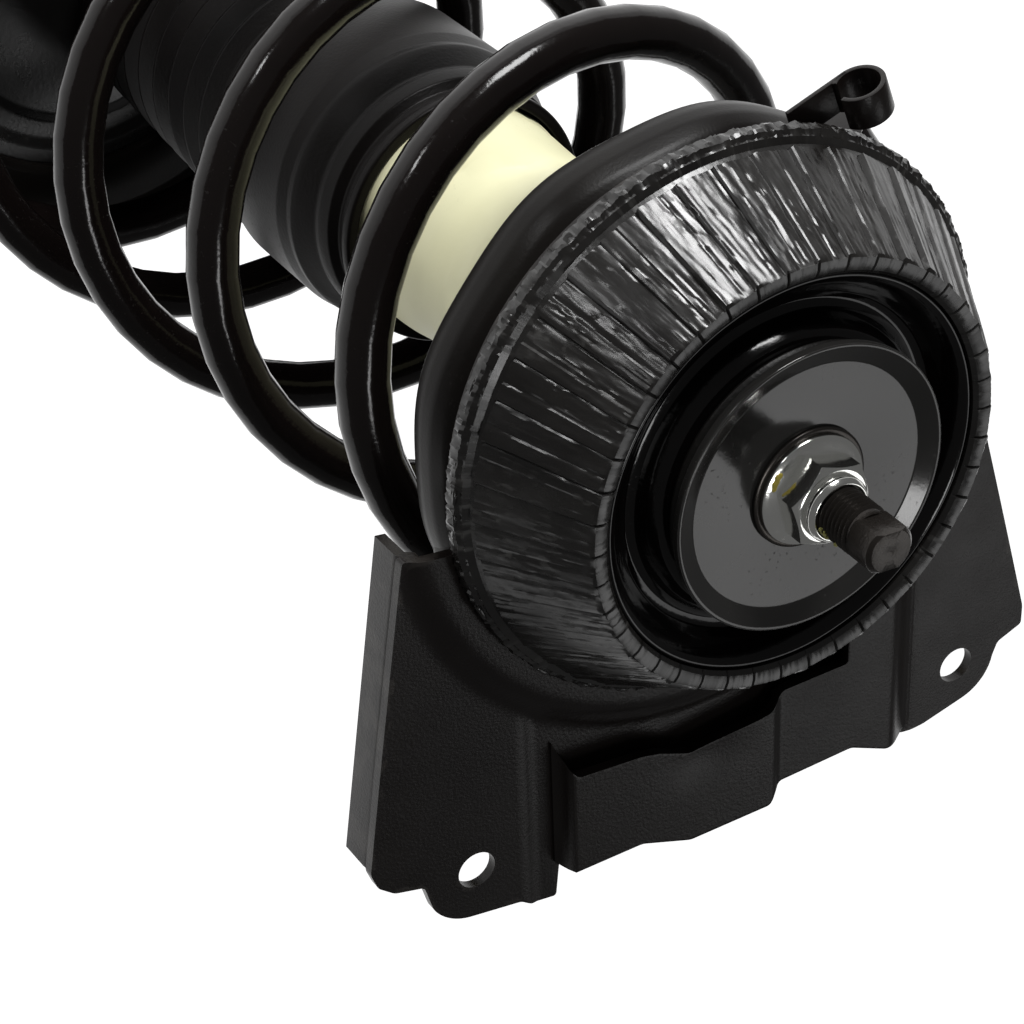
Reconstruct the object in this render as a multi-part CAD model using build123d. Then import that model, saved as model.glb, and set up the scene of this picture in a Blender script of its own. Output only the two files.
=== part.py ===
from build123d import *
from math import atan2, cos, degrees, floor, hypot, pi, radians, sin, sqrt
import os

# Loaded MacPherson strut: a damper with its coil spring, upper rubber mount and mount bracket.
# Millimetres. +Z runs up the piston rod, the origin is on the rod axis at the mount washer's rim.
# The upper bracket reaches out along -Y and the knuckle bracket opens along -X.

# Piston rod
ROD_R = 11.0
STUD_R = 6.0
STUD_TOP_Z = 27.0
STUD_CHAMFER = 0.8
FLAT_ACROSS = 9.0
FLAT_LENGTH = 7.6
FLAT_TURN = -4.4
SHOULDER_Z = -33.0

# Top nut
NUT_FLANGE_R = 13.0
NUT_ACROSS_FLATS = 18.0
NUT_FLANGE_H = 1.6
NUT_FLANGE_RISE = 0.8
NUT_HEX_H = 6.6
NUT_COLLAR_R = 7.6
NUT_COLLAR_H = 2.8
NUT_COLLAR_ROLL = 0.9
NUT_SEAT_R = 14.2
NUT_SEAT_H = 1.0

# Mount washer: dished steel disc
WASHER_R = 34.0
WASHER_T = 2.2
WASHER_DISH_R = 29.1
WASHER_DISH = 1.9
WASHER_RIM_FLAT = 0.8
WASHER_BEND = 1.2

# Mount cup, cushion, bush and sleeve
CUSHION_T = 2.4
CUSHION_R = 32.0
CUP_T = 2.0
CUP_FLAT_R = 31.0
CUP_TROUGH_R = 38.0
CUP_TROUGH_Z = -13.5
CUP_CREST_R = 47.2
CUP_CREST_Z = -6.3
CUP_CREST_FLAT = 1.6
CUP_TROUGH_HALF = 3.5
CUP_TROUGH_LIFT = 2.0
CUP_RISE_R = 4.0
CUP_RISE_Z = 0.6
SLEEVE_R = 9.6
BUSH_R = 24.0
BUSH_CORE_R = 34.0
BUSH_CORE_DROP = 4.0

# Ribbed rubber cone
CONE_TOP_R = 52.0
CONE_TOP_Z = -5.2
CONE_BASE_R = 64.6
CONE_BASE_Z = -31.2
CONE_LIP_R = 68.6
CONE_LIP_Z = -33.0
CONE_BORE_R = 44.0
CONE_LIP_STEP = 1.0
CONE_FOOT_LAP = 0.4
RIB_COUNT = 42
RIB_DEPTH = 1.1
RIB_RAMP = 0.94

# Upper bracket plate and dome
PLATE_T = 2.6
DOME_TOP_Z = -36.4
DOME_FOOT_Z = -38.6
DOME_FOOT_R = 80.0
PLATE_RING_R = 66.0
PLATE_BORE_R = 36.0
HOLE_SPACING = 138.0
HOLE_MID_X = 5.0
HOLE_LINE_Y = -102.0
HOLE_R = 4.8
TAB_R = 12.5
DOME_CREST = 2.0
WING_LEFT_X = -91.0
WING_RIGHT_X = 94.5
WING_TOP_LEFT = (-78.0, -10.0)
WING_TOP_RIGHT = (78.0, -30.0)
WING_CORNER_Y = -90.0
WING_CORNER_CUT = 7.0
WING_CORNER_RUN = 8.5
WING_CORNER_SLANT = 3.5
PLATE_EDGE_Y = -118.0
FLANGE_DROP = 9.0
BRIDGE_LEFT_X = -43.0
BRIDGE_RIGHT_X = 60.0
BRIDGE_RISE = 5.5
BRIDGE_LEFT_WEB = 2.4
BRIDGE_RIGHT_WEB = 10.0
BRIDGE_INNER_Y = -83.0
BRIDGE_EDGE_Y = -110.0
BRIDGE_STEP = 5.0
BRIDGE_BAY = 19.0
BRIDGE_BAY_RUN = 13.0
BRIDGE_JOGGLE_X = 16.5
BRIDGE_JOGGLE_RUN = 2.0
BRIDGE_DIP = 6.0
BRIDGE_SLOT_X = 37.3
BRIDGE_DOME_GAP = 2.5

# Curled clip on the edge of the plate
CLIP_AZIMUTH = 60.0
CLIP_AXIS_R = 75.6
CLIP_TURN = -41.0
CLIP_R = 6.0
CLIP_T = 1.2
CLIP_WIDTH = 8.0
CLIP_TAIL = 15.5
CLIP_MOUTH_TURN = 200.0
CLIP_MOUTH = 6.1

# Upper isolator
ISOLATOR_R = 66.0
ISOLATOR_BORE_R = 40.0
ISOLATOR_BASE_Z = -57.0
ISOLATOR_EDGE = 6.0
NUB_AZIMUTH = 202.0
NUB_LENGTH = 14.0
NUB_WIDTH = 10.0
NUB_PROUD = 1.5
COIL_BITE = 1.0

# Coil spring, with its centre line leaning outboard (-X) as it goes down
WIRE_R = 6.2
COIL_R = 64.0
COIL_TOP_X = -0.9
COIL_MID_Y = 4.8
COIL_LEAN = 0.10
COIL_START_ANGLE = 398.0
COIL_TOP_Z = -60.0
COIL_PITCH = 60.5
COIL_END_PITCH = 13.2
COIL_LEAD_TURNS = 0.5
COIL_ACTIVE_TURNS = 3.8
COIL_FOOT_TURNS = 0.9
COIL_BLEND_TURNS = 0.5
COIL_POINTS_PER_TURN = 12

# Bump stop and its cup
STOP_NECK_R = 27.3
STOP_LOBE_R = 29.6
STOP_TOP_Z = -60.0
STOP_BASE_Z = -190.0
STOP_CUP_R = 33.0
STOP_CUP_T = 2.0
STOP_CUP_SKIRT = 6.0
ROD_CLEARANCE = 0.8

# Dust boot
COLLAR_LIP_R = 33.0
COLLAR_LIP_Z = -143.0
COLLAR_LIP_T = 3.0
COLLAR_BODY_R = 38.0
COLLAR_SHOULDER_Z = -164.0
COLLAR_BASE_Z = -196.0
COLLAR_STEP = 9.0
COLLAR_ROLL = 6.0
BOOT_WALL = 1.8
BOOT_TOP_R = 37.5
BOOT_FOOT_R = 31.5
BOOT_FOOT_Z = -306.0
PLEAT_COUNT = 10
PLEAT_DEPTH = 3.6
CUFF_H = 8.0
SLIP_GAP = 0.4

# Damper
TRAVEL = 70.0
STOP_TO_CAP = 1.5
TUBE_R = 25.5
TUBE_WALL = 2.2
TUBE_LENGTH = 286.0
CAP_T = 3.0
CAP_WALL = 1.5
CAP_SKIRT = 14.0
BORE_R = 16.0
INNER_WALL = 1.5
GUIDE_H = 18.0
GUIDE_PILOT = 8.0
BUSH_WALL = 1.5
SEAL_H = 5.0
FIT_GAP = 0.04
PISTON_H = 18.0
PISTON_STUD_R = 6.5
PISTON_PORTS = 6
PISTON_PORT_R = 1.6
PISTON_PORT_CIRCLE = 10.2
RING_H = 7.0
RING_T = 1.5
REBOUND_H = 9.0
REBOUND_R = 14.0
REBOUND_GAP = 1.0
PISTON_NUT_H = 9.0
PISTON_NUT_ACROSS = 19.0
PISTON_STUD_PROUD = 2.0
SHIM_H = 1.6
SHIM_R = 12.5
VALVE_H = 12.0
VALVE_PILOT = 4.0
VALVE_SLOTS = 4
VALVE_SLOT = 6.0
PLUG_T = 4.0

# Lower spring seat
PAN_R = 74.0
PAN_T = 3.0
PAN_RIM_H = 9.0
PAN_COLLAR_H = 16.0
PAN_PAD_T = 4.0
PAD_INNER_R = 52.0
GUSSET_T = 5.0
GUSSET_LIP = 4.0
GUSSET_FOOT = 8.0
GUSSET_INSET = 14.0

# Knuckle bracket
EAR_T = 4.5
EAR_GAP = 32.0
EAR_REACH = 62.0
BRACKET_H = 96.0
BRACKET_DROP = 8.0
BRACKET_WALL = 4.5
BOLT_R = 7.05
BOLT_PITCH = 56.0
BOLT_REACH = 46.0

# Tabs on the tube
LINK_TAB_T = 5.0
LINK_TAB_REACH = 30.0
LINK_TAB_W = 34.0
LINK_BORE_R = 5.1
LINK_TAB_DROP = 66.0
HOSE_TAB_T = 2.5
HOSE_TAB_REACH = 26.0
HOSE_TAB_W = 22.0
HOSE_BORE_R = 4.3
HOSE_TAB_DROP = 96.0

# Levels worked out from the sizes above
washer_floor_z = -WASHER_DISH
washer_base_z = washer_floor_z - WASHER_T
cup_flat_z = washer_base_z - CUSHION_T
nut_base_z = washer_floor_z + NUT_SEAT_H
plate_base_z = DOME_FOOT_Z - PLATE_T
cap_top_z = STOP_BASE_Z - TRAVEL - STOP_TO_CAP
tube_top_z = cap_top_z - CAP_T
tube_base_z = tube_top_z - TUBE_LENGTH
tube_bore_r = TUBE_R - TUBE_WALL
guide_top_z = tube_top_z - SEAL_H
guide_base_z = guide_top_z - GUIDE_H
rebound_top_z = guide_base_z - REBOUND_GAP
piston_top_z = rebound_top_z - REBOUND_H - SHIM_H
piston_base_z = piston_top_z - PISTON_H
piston_nut_z = piston_base_z - SHIM_H
rod_base_z = piston_nut_z - PISTON_NUT_H - PISTON_STUD_PROUD
plug_top_z = tube_base_z + PLUG_T
valve_top_z = plug_top_z + VALVE_H
valve_step_z = valve_top_z - VALVE_PILOT
guide_step_z = guide_base_z + GUIDE_PILOT
bracket_base_z = tube_base_z - BRACKET_DROP
left_hole_x = HOLE_MID_X - HOLE_SPACING / 2
right_hole_x = HOLE_MID_X + HOLE_SPACING / 2
cup_rise_r = CUP_TROUGH_R + CUP_RISE_R
cup_rise_z = CUP_TROUGH_Z - CUP_T + CUP_RISE_Z
cup_shoulder = (CUP_TROUGH_R - CUP_TROUGH_HALF - CUP_TROUGH_LIFT, CUP_TROUGH_Z - CUP_TROUGH_LIFT / 2)
bush_step_z = CUP_TROUGH_Z - BUSH_CORE_DROP
right_corner_y = WING_CORNER_Y - WING_CORNER_CUT
bridge_left_x = BRIDGE_LEFT_X + BRIDGE_LEFT_WEB
bridge_right_x = BRIDGE_RIGHT_X - BRIDGE_RIGHT_WEB


def ring(outer, inner, low, high):
    """A plain round ring about the rod axis."""
    body = Cylinder(outer, high - low, align=(Align.CENTER, Align.CENTER, Align.MIN))
    if inner > 0:
        body -= Cylinder(inner, high - low, align=(Align.CENTER, Align.CENTER, Align.MIN))
    return Pos(0, 0, low) * body


def lathe(points):
    """A solid turned about the rod axis from (radius, height) points."""
    face = make_face(Polyline(*[(r, 0, z) for r, z in points], close=True))
    return revolve(face, Axis.Z, 360)


def hexagon(across, low, high, bore):
    """A hexagonal prism with a round bore."""
    body = extrude(RegularPolygon(across / 2, 6, major_radius=False), high - low)
    return Pos(0, 0, low) * body - ring(bore, 0, low - 1, high + 1)


def block(x0, x1, y0, y1, z0, z1):
    """A box between two corners."""
    return Pos((x0 + x1) / 2, (y0 + y1) / 2, (z0 + z1) / 2) * Box(x1 - x0, y1 - y0, z1 - z0)


def piston_rod():
    stud = Cylinder(STUD_R, STUD_TOP_Z - SHOULDER_Z, align=(Align.CENTER, Align.CENTER, Align.MIN))
    stud = chamfer(stud.edges().group_by(Axis.Z)[-1], STUD_CHAMFER)
    flat_z = STUD_TOP_Z - FLAT_LENGTH
    stud = Pos(0, 0, SHOULDER_Z) * stud
    for side in (0, 180):
        flat = block(-2 * STUD_R, 2 * STUD_R, FLAT_ACROSS / 2, 2 * STUD_R, flat_z, STUD_TOP_Z + 1)
        stud -= Rot(0, 0, FLAT_TURN + side) * flat
    shaft = ring(ROD_R, 0, rebound_top_z, SHOULDER_Z)
    return stud + shaft + ring(PISTON_STUD_R, 0, rod_base_z, rebound_top_z)


def rod_nut():
    hex_top = nut_base_z + NUT_FLANGE_H + NUT_HEX_H
    slope_z = nut_base_z + NUT_FLANGE_H + NUT_FLANGE_RISE
    flange = lathe([(STUD_R, nut_base_z), (NUT_FLANGE_R, nut_base_z),
                    (NUT_FLANGE_R, nut_base_z + NUT_FLANGE_H / 2),
                    (NUT_ACROSS_FLATS / 2, slope_z), (STUD_R, slope_z)])
    hexa = hexagon(NUT_ACROSS_FLATS, nut_base_z + NUT_FLANGE_H, hex_top, STUD_R)
    collar = lathe([(STUD_R, hex_top), (NUT_COLLAR_R, hex_top),
                    (NUT_COLLAR_R, hex_top + NUT_COLLAR_H - NUT_COLLAR_ROLL),
                    (NUT_COLLAR_R - NUT_COLLAR_ROLL, hex_top + NUT_COLLAR_H), (STUD_R, hex_top + NUT_COLLAR_H)])
    return flange + hexa + collar


def nut_seat():
    return ring(NUT_SEAT_R, STUD_R, washer_floor_z, nut_base_z)


def mount_washer():
    edge_r = WASHER_R - WASHER_RIM_FLAT
    return lathe([(STUD_R, washer_floor_z), (WASHER_DISH_R, washer_floor_z), (edge_r, 0),
                  (WASHER_R, 0), (WASHER_R, -WASHER_T), (WASHER_DISH_R + WASHER_BEND, washer_base_z),
                  (STUD_R, washer_base_z)])


def top_cushion():
    return ring(CUSHION_R, SLEEVE_R, cup_flat_z, washer_base_z)


def mount_cup():
    trough = CUP_TROUGH_Z
    upper = [(BUSH_R, cup_flat_z), (CUP_FLAT_R, cup_flat_z),
             (CUP_TROUGH_R - CUP_TROUGH_HALF, trough + CUP_TROUGH_LIFT), (CUP_TROUGH_R, trough),
             (CUP_TROUGH_R + CUP_TROUGH_HALF, trough + CUP_TROUGH_LIFT),
             (CUP_CREST_R - CUP_CREST_FLAT, CUP_CREST_Z), (CUP_CREST_R, CUP_CREST_Z)]
    lower = [(CUP_CREST_R, CUP_CREST_Z - CUP_T), (cup_rise_r, cup_rise_z), (CUP_TROUGH_R, trough - CUP_T),
             cup_shoulder, (CUP_FLAT_R - CUP_T, cup_flat_z - CUP_T), (BUSH_R, cup_flat_z - CUP_T)]
    return lathe(upper + lower)


def inner_sleeve():
    return ring(SLEEVE_R, STUD_R, SHOULDER_Z, washer_base_z)


def mount_bush():
    top = cup_flat_z - CUP_T
    return lathe([(SLEEVE_R, cup_flat_z), (BUSH_R, cup_flat_z), (BUSH_R, top), (CUP_FLAT_R - CUP_T, top),
                  cup_shoulder, (BUSH_CORE_R, bush_step_z), (BUSH_CORE_R, DOME_TOP_Z),
                  (SLEEVE_R, DOME_TOP_Z + BUSH_CORE_DROP)])


def cone_core():
    """Moulded rubber between the cup's trough and the ribbed cone."""
    return lathe([(BUSH_CORE_R, bush_step_z), (CUP_TROUGH_R, CUP_TROUGH_Z - CUP_T), (cup_rise_r, cup_rise_z),
                  (CONE_BORE_R, cup_rise_z), (CONE_BORE_R, DOME_TOP_Z), (BUSH_CORE_R, DOME_TOP_Z)])


def saw_tooth(radius, height):
    """Outline of the ribs at one level: each rib ramps out and then steps back in."""
    points = []
    for index in range(RIB_COUNT):
        start = 2 * pi * index / RIB_COUNT
        for turn, reach in ((0.0, radius - RIB_DEPTH), (RIB_RAMP, radius)):
            angle = start + turn * 2 * pi / RIB_COUNT
            points.append((reach * cos(angle), reach * sin(angle), height))
    return make_face(Polyline(*points, close=True))


def ribbed_cone():
    flank = loft([saw_tooth(CONE_BASE_R, CONE_BASE_Z), saw_tooth(CONE_TOP_R, CONE_TOP_Z)], ruled=True)
    foot = lathe([(CONE_BORE_R, DOME_TOP_Z), (CONE_LIP_R, DOME_TOP_Z), (CONE_LIP_R, CONE_LIP_Z),
                  (CONE_BASE_R + CONE_LIP_STEP, CONE_BASE_Z - CONE_FOOT_LAP),
                  (CONE_BASE_R - RIB_DEPTH - CONE_LIP_STEP, CONE_BASE_Z + CONE_FOOT_LAP),
                  (CONE_BORE_R, CONE_BASE_Z + CONE_FOOT_LAP)])
    body = flank + foot - ring(CONE_BORE_R, 0, DOME_TOP_Z - 1, CONE_TOP_Z + 1)
    pocket = lathe([(0, CUP_CREST_Z), (CUP_CREST_R, CUP_CREST_Z), (CUP_CREST_R, CUP_CREST_Z - CUP_T),
                    (cup_rise_r, cup_rise_z), (0, cup_rise_z)])
    return body - pocket - ring(CUP_CREST_R, 0, CUP_CREST_Z, CONE_TOP_Z + 1)


def bracket_outline():
    """Plan outline of the bracket plate, wings and bolt tabs."""
    tab_y = HOLE_LINE_Y - TAB_R * 0.7
    wings = make_face(Polyline(
        WING_TOP_LEFT, (WING_LEFT_X, WING_CORNER_Y),
        (WING_LEFT_X + WING_CORNER_CUT, WING_CORNER_Y - WING_CORNER_RUN), (left_hole_x, tab_y),
        (left_hole_x + TAB_R, PLATE_EDGE_Y), (BRIDGE_LEFT_X, PLATE_EDGE_Y), (bridge_left_x, BRIDGE_EDGE_Y),
        (bridge_right_x, BRIDGE_EDGE_Y), (BRIDGE_RIGHT_X, PLATE_EDGE_Y), (right_hole_x, tab_y),
        (WING_RIGHT_X - WING_CORNER_CUT, right_corner_y - WING_CORNER_SLANT), (WING_RIGHT_X, right_corner_y),
        WING_TOP_RIGHT, close=True))
    for hole_x in (left_hole_x, right_hole_x):
        wings += Pos(hole_x, HOLE_LINE_Y) * Circle(TAB_R)
    return wings


def upper_bracket():
    plan = bracket_outline() + Circle(PLATE_RING_R)
    plate = Pos(0, 0, plate_base_z) * extrude(plan, PLATE_T)
    for top, low, inner, outer in ((WING_TOP_LEFT, (WING_LEFT_X, WING_CORNER_Y), PLATE_T, 0),
                                   (WING_TOP_RIGHT, (WING_RIGHT_X, right_corner_y), 0, -PLATE_T)):
        length = hypot(low[0] - top[0], low[1] - top[1])
        turn = degrees(atan2(low[1] - top[1], low[0] - top[0]))
        flange = block(0, length, outer, inner, plate_base_z - FLANGE_DROP, DOME_FOOT_Z - PLATE_T / 2)
        plate += Pos(top[0], top[1], 0) * Rot(0, 0, turn) * flange
    plate -= ring(PLATE_BORE_R, 0, plate_base_z - 1, DOME_FOOT_Z + 1)
    for hole_x in (left_hole_x, right_hole_x):
        plate -= Pos(hole_x, HOLE_LINE_Y, 0) * ring(HOLE_R, 0, plate_base_z - 1, DOME_FOOT_Z + 1)
    return plate


def dome_ring():
    """Raised seat pressed round the cone's foot, sloping down to the plate."""
    full = lathe([(PLATE_BORE_R, DOME_TOP_Z), (CONE_LIP_R, DOME_TOP_Z), (CONE_LIP_R + DOME_CREST, DOME_TOP_Z),
                  (DOME_FOOT_R, DOME_FOOT_Z), (PLATE_BORE_R, DOME_FOOT_Z)])
    beyond = ring(DOME_FOOT_R + 5, PLATE_RING_R, DOME_FOOT_Z - 1, DOME_TOP_Z + 1)
    return full - (beyond - Pos(0, 0, DOME_FOOT_Z - 1) * extrude(bracket_outline(), 10.0))


def bridge_outline():
    """Plan of the raised sheet: two bays towards the outer edge and a long slot towards the dome."""
    left, right = bridge_left_x, bridge_right_x
    near, far = BRIDGE_EDGE_Y, BRIDGE_EDGE_Y - BRIDGE_STEP
    bay_end = left + BRIDGE_BAY + BRIDGE_BAY_RUN
    joggle_in = BRIDGE_JOGGLE_X - BRIDGE_JOGGLE_RUN
    joggle_out = BRIDGE_JOGGLE_X + BRIDGE_JOGGLE_RUN / 2
    skirt_r = DOME_FOOT_R + BRIDGE_DOME_GAP
    return make_face(Polyline(
        (left, near), (left + BRIDGE_BAY, near), (bay_end, far), (joggle_in, far), (joggle_out, near),
        (right - BRIDGE_BAY_RUN, near), (right, far), (right, -sqrt(skirt_r ** 2 - right ** 2)),
        (BRIDGE_SLOT_X, -sqrt(skirt_r ** 2 - BRIDGE_SLOT_X ** 2)), (BRIDGE_SLOT_X, BRIDGE_INNER_Y),
        (joggle_out, BRIDGE_INNER_Y), (joggle_in, BRIDGE_INNER_Y - BRIDGE_STEP),
        (bay_end, BRIDGE_INNER_Y - BRIDGE_DIP), (left + BRIDGE_BAY, BRIDGE_INNER_Y - BRIDGE_JOGGLE_RUN),
        (left, BRIDGE_INNER_Y), close=True))


def bridge_web(near, far, inner, outer):
    """Sloping end of the raised sheet, from its top down to the plate."""
    top = DOME_FOOT_Z + BRIDGE_RISE
    run = far - near
    web = make_face(Polyline((near, 0, top), (far - run * 0.2, 0, DOME_FOOT_Z + 0.8), (far, 0, DOME_FOOT_Z),
                             (near + run * 0.4, 0, DOME_FOOT_Z), (near, 0, top - PLATE_T), close=True))
    return Pos(0, (inner + outer) / 2, 0) * extrude(web, (inner - outer) / 2, both=True)


def bracket_bridge():
    """Stiffening sheet raised over the plate's outer edge, with an open slot towards the dome."""
    top = DOME_FOOT_Z + BRIDGE_RISE
    sheet = Pos(0, 0, top - PLATE_T) * extrude(bridge_outline(), PLATE_T)
    skirt_r = DOME_FOOT_R + BRIDGE_DOME_GAP
    right_inner = -sqrt(skirt_r ** 2 - BRIDGE_RIGHT_X ** 2)
    sheet += bridge_web(bridge_left_x, BRIDGE_LEFT_X, BRIDGE_INNER_Y, BRIDGE_EDGE_Y)
    return sheet + bridge_web(bridge_right_x, BRIDGE_RIGHT_X, right_inner, BRIDGE_EDGE_Y - BRIDGE_STEP)


def curled_clip():
    """Strip rolled into an open loop on the far edge of the plate."""
    loop = Cylinder(CLIP_R, CLIP_WIDTH) - Cylinder(CLIP_R - CLIP_T, CLIP_WIDTH + 2)
    mouth = Rot(0, 0, CLIP_MOUTH_TURN) * Pos(CLIP_R, 0, 0) * Box(2 * CLIP_R, CLIP_MOUTH, CLIP_WIDTH + 2)
    loop = loop - mouth
    tail = Pos(-CLIP_TAIL / 2, -CLIP_R + CLIP_T / 2, 0) * Box(CLIP_TAIL, CLIP_T, CLIP_WIDTH)
    curl = Rot(90, 0, 0) * (loop + tail)
    seat = Rot(0, 0, CLIP_AZIMUTH) * Pos(CLIP_AXIS_R, 0, plate_base_z - CLIP_T + CLIP_R)
    return seat * Rot(0, 0, CLIP_TURN) * curl


def coil_height(turn):
    """Height of the wire's centre after a number of turns down from the top end."""
    total = COIL_LEAD_TURNS + COIL_ACTIVE_TURNS + COIL_FOOT_TURNS
    steps = 400
    height = COIL_TOP_Z
    span = turn / steps
    for index in range(steps):
        here = (index + 0.5) * span
        rise = min(max((here - COIL_LEAD_TURNS / 2) / COIL_BLEND_TURNS, 0), 1)
        fall = min(max((total - COIL_FOOT_TURNS + 0.1 - here) / COIL_BLEND_TURNS, 0), 1)
        share = min(rise, fall)
        share = share * share * (3 - 2 * share)
        height -= span * (COIL_END_PITCH + (COIL_PITCH - COIL_END_PITCH) * share)
    return height


def coil_centre(height):
    """Plan position of the coil's centre line at a height."""
    return COIL_TOP_X + COIL_LEAN * (height - COIL_TOP_Z), COIL_MID_Y


def coil_point(turn):
    height = coil_height(turn)
    centre_x, centre_y = coil_centre(height)
    angle = radians(COIL_START_ANGLE) - 2 * pi * turn
    return centre_x + COIL_R * cos(angle), centre_y + COIL_R * sin(angle), height


coil_turns = COIL_LEAD_TURNS + COIL_ACTIVE_TURNS + COIL_FOOT_TURNS
coil_base_z = coil_height(coil_turns)
pan_top_z = coil_base_z - WIRE_R - PAN_PAD_T
pan_centre = coil_centre(coil_base_z)


def coil_spring():
    count = floor(coil_turns * COIL_POINTS_PER_TURN)
    route = Spline(*[coil_point(coil_turns * index / count) for index in range(count + 1)])
    section = Plane(origin=route @ 0, z_dir=route % 0) * Circle(WIRE_R)
    return sweep(section, route, is_frenet=True)


def upper_isolator():
    top = plate_base_z
    body = lathe([(ISOLATOR_BORE_R, top), (ISOLATOR_R - ISOLATOR_EDGE, top), (ISOLATOR_R, top - ISOLATOR_EDGE),
                  (ISOLATOR_R, ISOLATOR_BASE_Z), (ISOLATOR_BORE_R, ISOLATOR_BASE_Z)])
    groove = Pos(COIL_TOP_X, COIL_MID_Y, COIL_TOP_Z - COIL_BITE) * Torus(COIL_R, WIRE_R)
    nub = Rot(0, 0, NUB_AZIMUTH) * block(ISOLATOR_R - NUB_WIDTH, ISOLATOR_R + NUB_PROUD, -NUB_LENGTH / 2,
                                         NUB_LENGTH / 2, ISOLATOR_BASE_Z + 2, top)
    return body + nub - groove


def stop_cup():
    top = plate_base_z + PLATE_T / 2
    inner = STOP_CUP_R - STOP_CUP_T
    bore = ROD_R + ROD_CLEARANCE
    skirt_z = STOP_TOP_Z - STOP_CUP_SKIRT
    return lathe([(bore, STOP_TOP_Z + STOP_CUP_T), (inner, STOP_TOP_Z + STOP_CUP_T), (inner, top),
                  (PLATE_BORE_R, top), (PLATE_BORE_R, top - STOP_CUP_T), (STOP_CUP_R, top - STOP_CUP_T),
                  (STOP_CUP_R, skirt_z), (inner, skirt_z), (inner, STOP_TOP_Z), (bore, STOP_TOP_Z)])


def bump_stop():
    span = STOP_TOP_Z - STOP_BASE_Z
    waist = STOP_NECK_R
    lobe = STOP_LOBE_R
    profile = [(ROD_R + ROD_CLEARANCE, STOP_TOP_Z), (STOP_CUP_R - STOP_CUP_T, STOP_TOP_Z),
               (STOP_CUP_R - STOP_CUP_T, STOP_TOP_Z - 0.1 * span)]
    for share, radius in ((0.2, lobe), (0.32, lobe + 0.4), (0.42, waist), (0.52, waist), (0.62, lobe),
                          (0.72, lobe - 0.6), (0.78, waist - 2), (0.9, waist - 4), (1.0, waist - 9)):
        profile.append((radius, STOP_TOP_Z - share * span))
    profile.append((ROD_R + ROD_CLEARANCE, STOP_BASE_Z))
    return lathe(profile)


def boot_collar():
    hold = STOP_LOBE_R + SLIP_GAP
    wall = BOOT_WALL
    return lathe([(hold, COLLAR_LIP_Z), (COLLAR_LIP_R, COLLAR_LIP_Z), (COLLAR_LIP_R, COLLAR_LIP_Z - COLLAR_LIP_T),
                  (COLLAR_LIP_R - 1.2, COLLAR_LIP_Z - COLLAR_LIP_T - 2), (COLLAR_LIP_R + 1.0, COLLAR_SHOULDER_Z + COLLAR_STEP),
                  (COLLAR_BODY_R - 1.0, COLLAR_SHOULDER_Z), (COLLAR_BODY_R, COLLAR_SHOULDER_Z - COLLAR_ROLL),
                  (COLLAR_BODY_R, COLLAR_BASE_Z), (COLLAR_BODY_R - wall, COLLAR_BASE_Z),
                  (COLLAR_BODY_R - wall, COLLAR_SHOULDER_Z - COLLAR_ROLL),
                  (COLLAR_LIP_R - wall, COLLAR_SHOULDER_Z + COLLAR_STEP / 2),
                  (hold, COLLAR_SHOULDER_Z + COLLAR_STEP)])


def dust_boot():
    """Bellows that taper from the collar to a cuff on the damper tube."""
    cuff_top = BOOT_FOOT_Z + CUFF_H
    run = COLLAR_BASE_Z - cuff_top
    outside = []
    for index in range(2 * PLEAT_COUNT + 1):
        share = index / (2 * PLEAT_COUNT)
        radius = BOOT_TOP_R + (BOOT_FOOT_R - BOOT_TOP_R) * share
        radius -= PLEAT_DEPTH if index % 2 else 0
        outside.append((radius, COLLAR_BASE_Z - share * run))
    cuff_r = TUBE_R + SLIP_GAP
    inside = [(max(radius - BOOT_WALL, cuff_r), height) for radius, height in reversed(outside)]
    return lathe(outside + [(cuff_r + BOOT_WALL, cuff_top - 1), (cuff_r + BOOT_WALL, BOOT_FOOT_Z),
                            (cuff_r, BOOT_FOOT_Z)] + inside)


def rebound_stop():
    return ring(REBOUND_R, PISTON_STUD_R, rebound_top_z - REBOUND_H, rebound_top_z)


def piston_shims():
    return ring(SHIM_R, PISTON_STUD_R, piston_top_z, piston_top_z + SHIM_H)


def piston():
    body = ring(BORE_R - RING_T, PISTON_STUD_R, piston_base_z, piston_top_z)
    for index in range(PISTON_PORTS):
        port = ring(PISTON_PORT_R, 0, piston_base_z - 1, piston_top_z + 1)
        body -= Rot(0, 0, 360 * index / PISTON_PORTS) * Pos(PISTON_PORT_CIRCLE, 0, 0) * port
    return body


def piston_ring():
    middle = (piston_top_z + piston_base_z) / 2
    return ring(BORE_R - FIT_GAP, BORE_R - RING_T, middle - RING_H / 2, middle + RING_H / 2)


def lower_shims():
    return ring(SHIM_R, PISTON_STUD_R, piston_nut_z, piston_base_z)


def piston_nut():
    return hexagon(PISTON_NUT_ACROSS, piston_nut_z - PISTON_NUT_H, piston_nut_z, PISTON_STUD_R)


def tube_cap():
    skirt_base = tube_top_z - CAP_SKIRT
    body = ring(TUBE_R + CAP_WALL, ROD_R + ROD_CLEARANCE, tube_top_z, cap_top_z)
    skirt = ring(TUBE_R + CAP_WALL, TUBE_R, skirt_base, tube_top_z)
    return body + skirt


def outer_tube():
    return ring(TUBE_R, tube_bore_r, tube_base_z, tube_top_z)


def rod_seal():
    return ring(tube_bore_r, ROD_R + FIT_GAP, guide_top_z, tube_top_z)


def rod_guide():
    inner = ROD_R + FIT_GAP + BUSH_WALL
    body = ring(tube_bore_r, inner, guide_step_z, guide_top_z)
    return body + ring(BORE_R, inner, guide_base_z, guide_step_z)


def guide_bush():
    return ring(ROD_R + FIT_GAP + BUSH_WALL, ROD_R + FIT_GAP, guide_base_z, guide_top_z)


def inner_tube():
    return ring(BORE_R + INNER_WALL, BORE_R, valve_step_z, guide_step_z)


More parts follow.
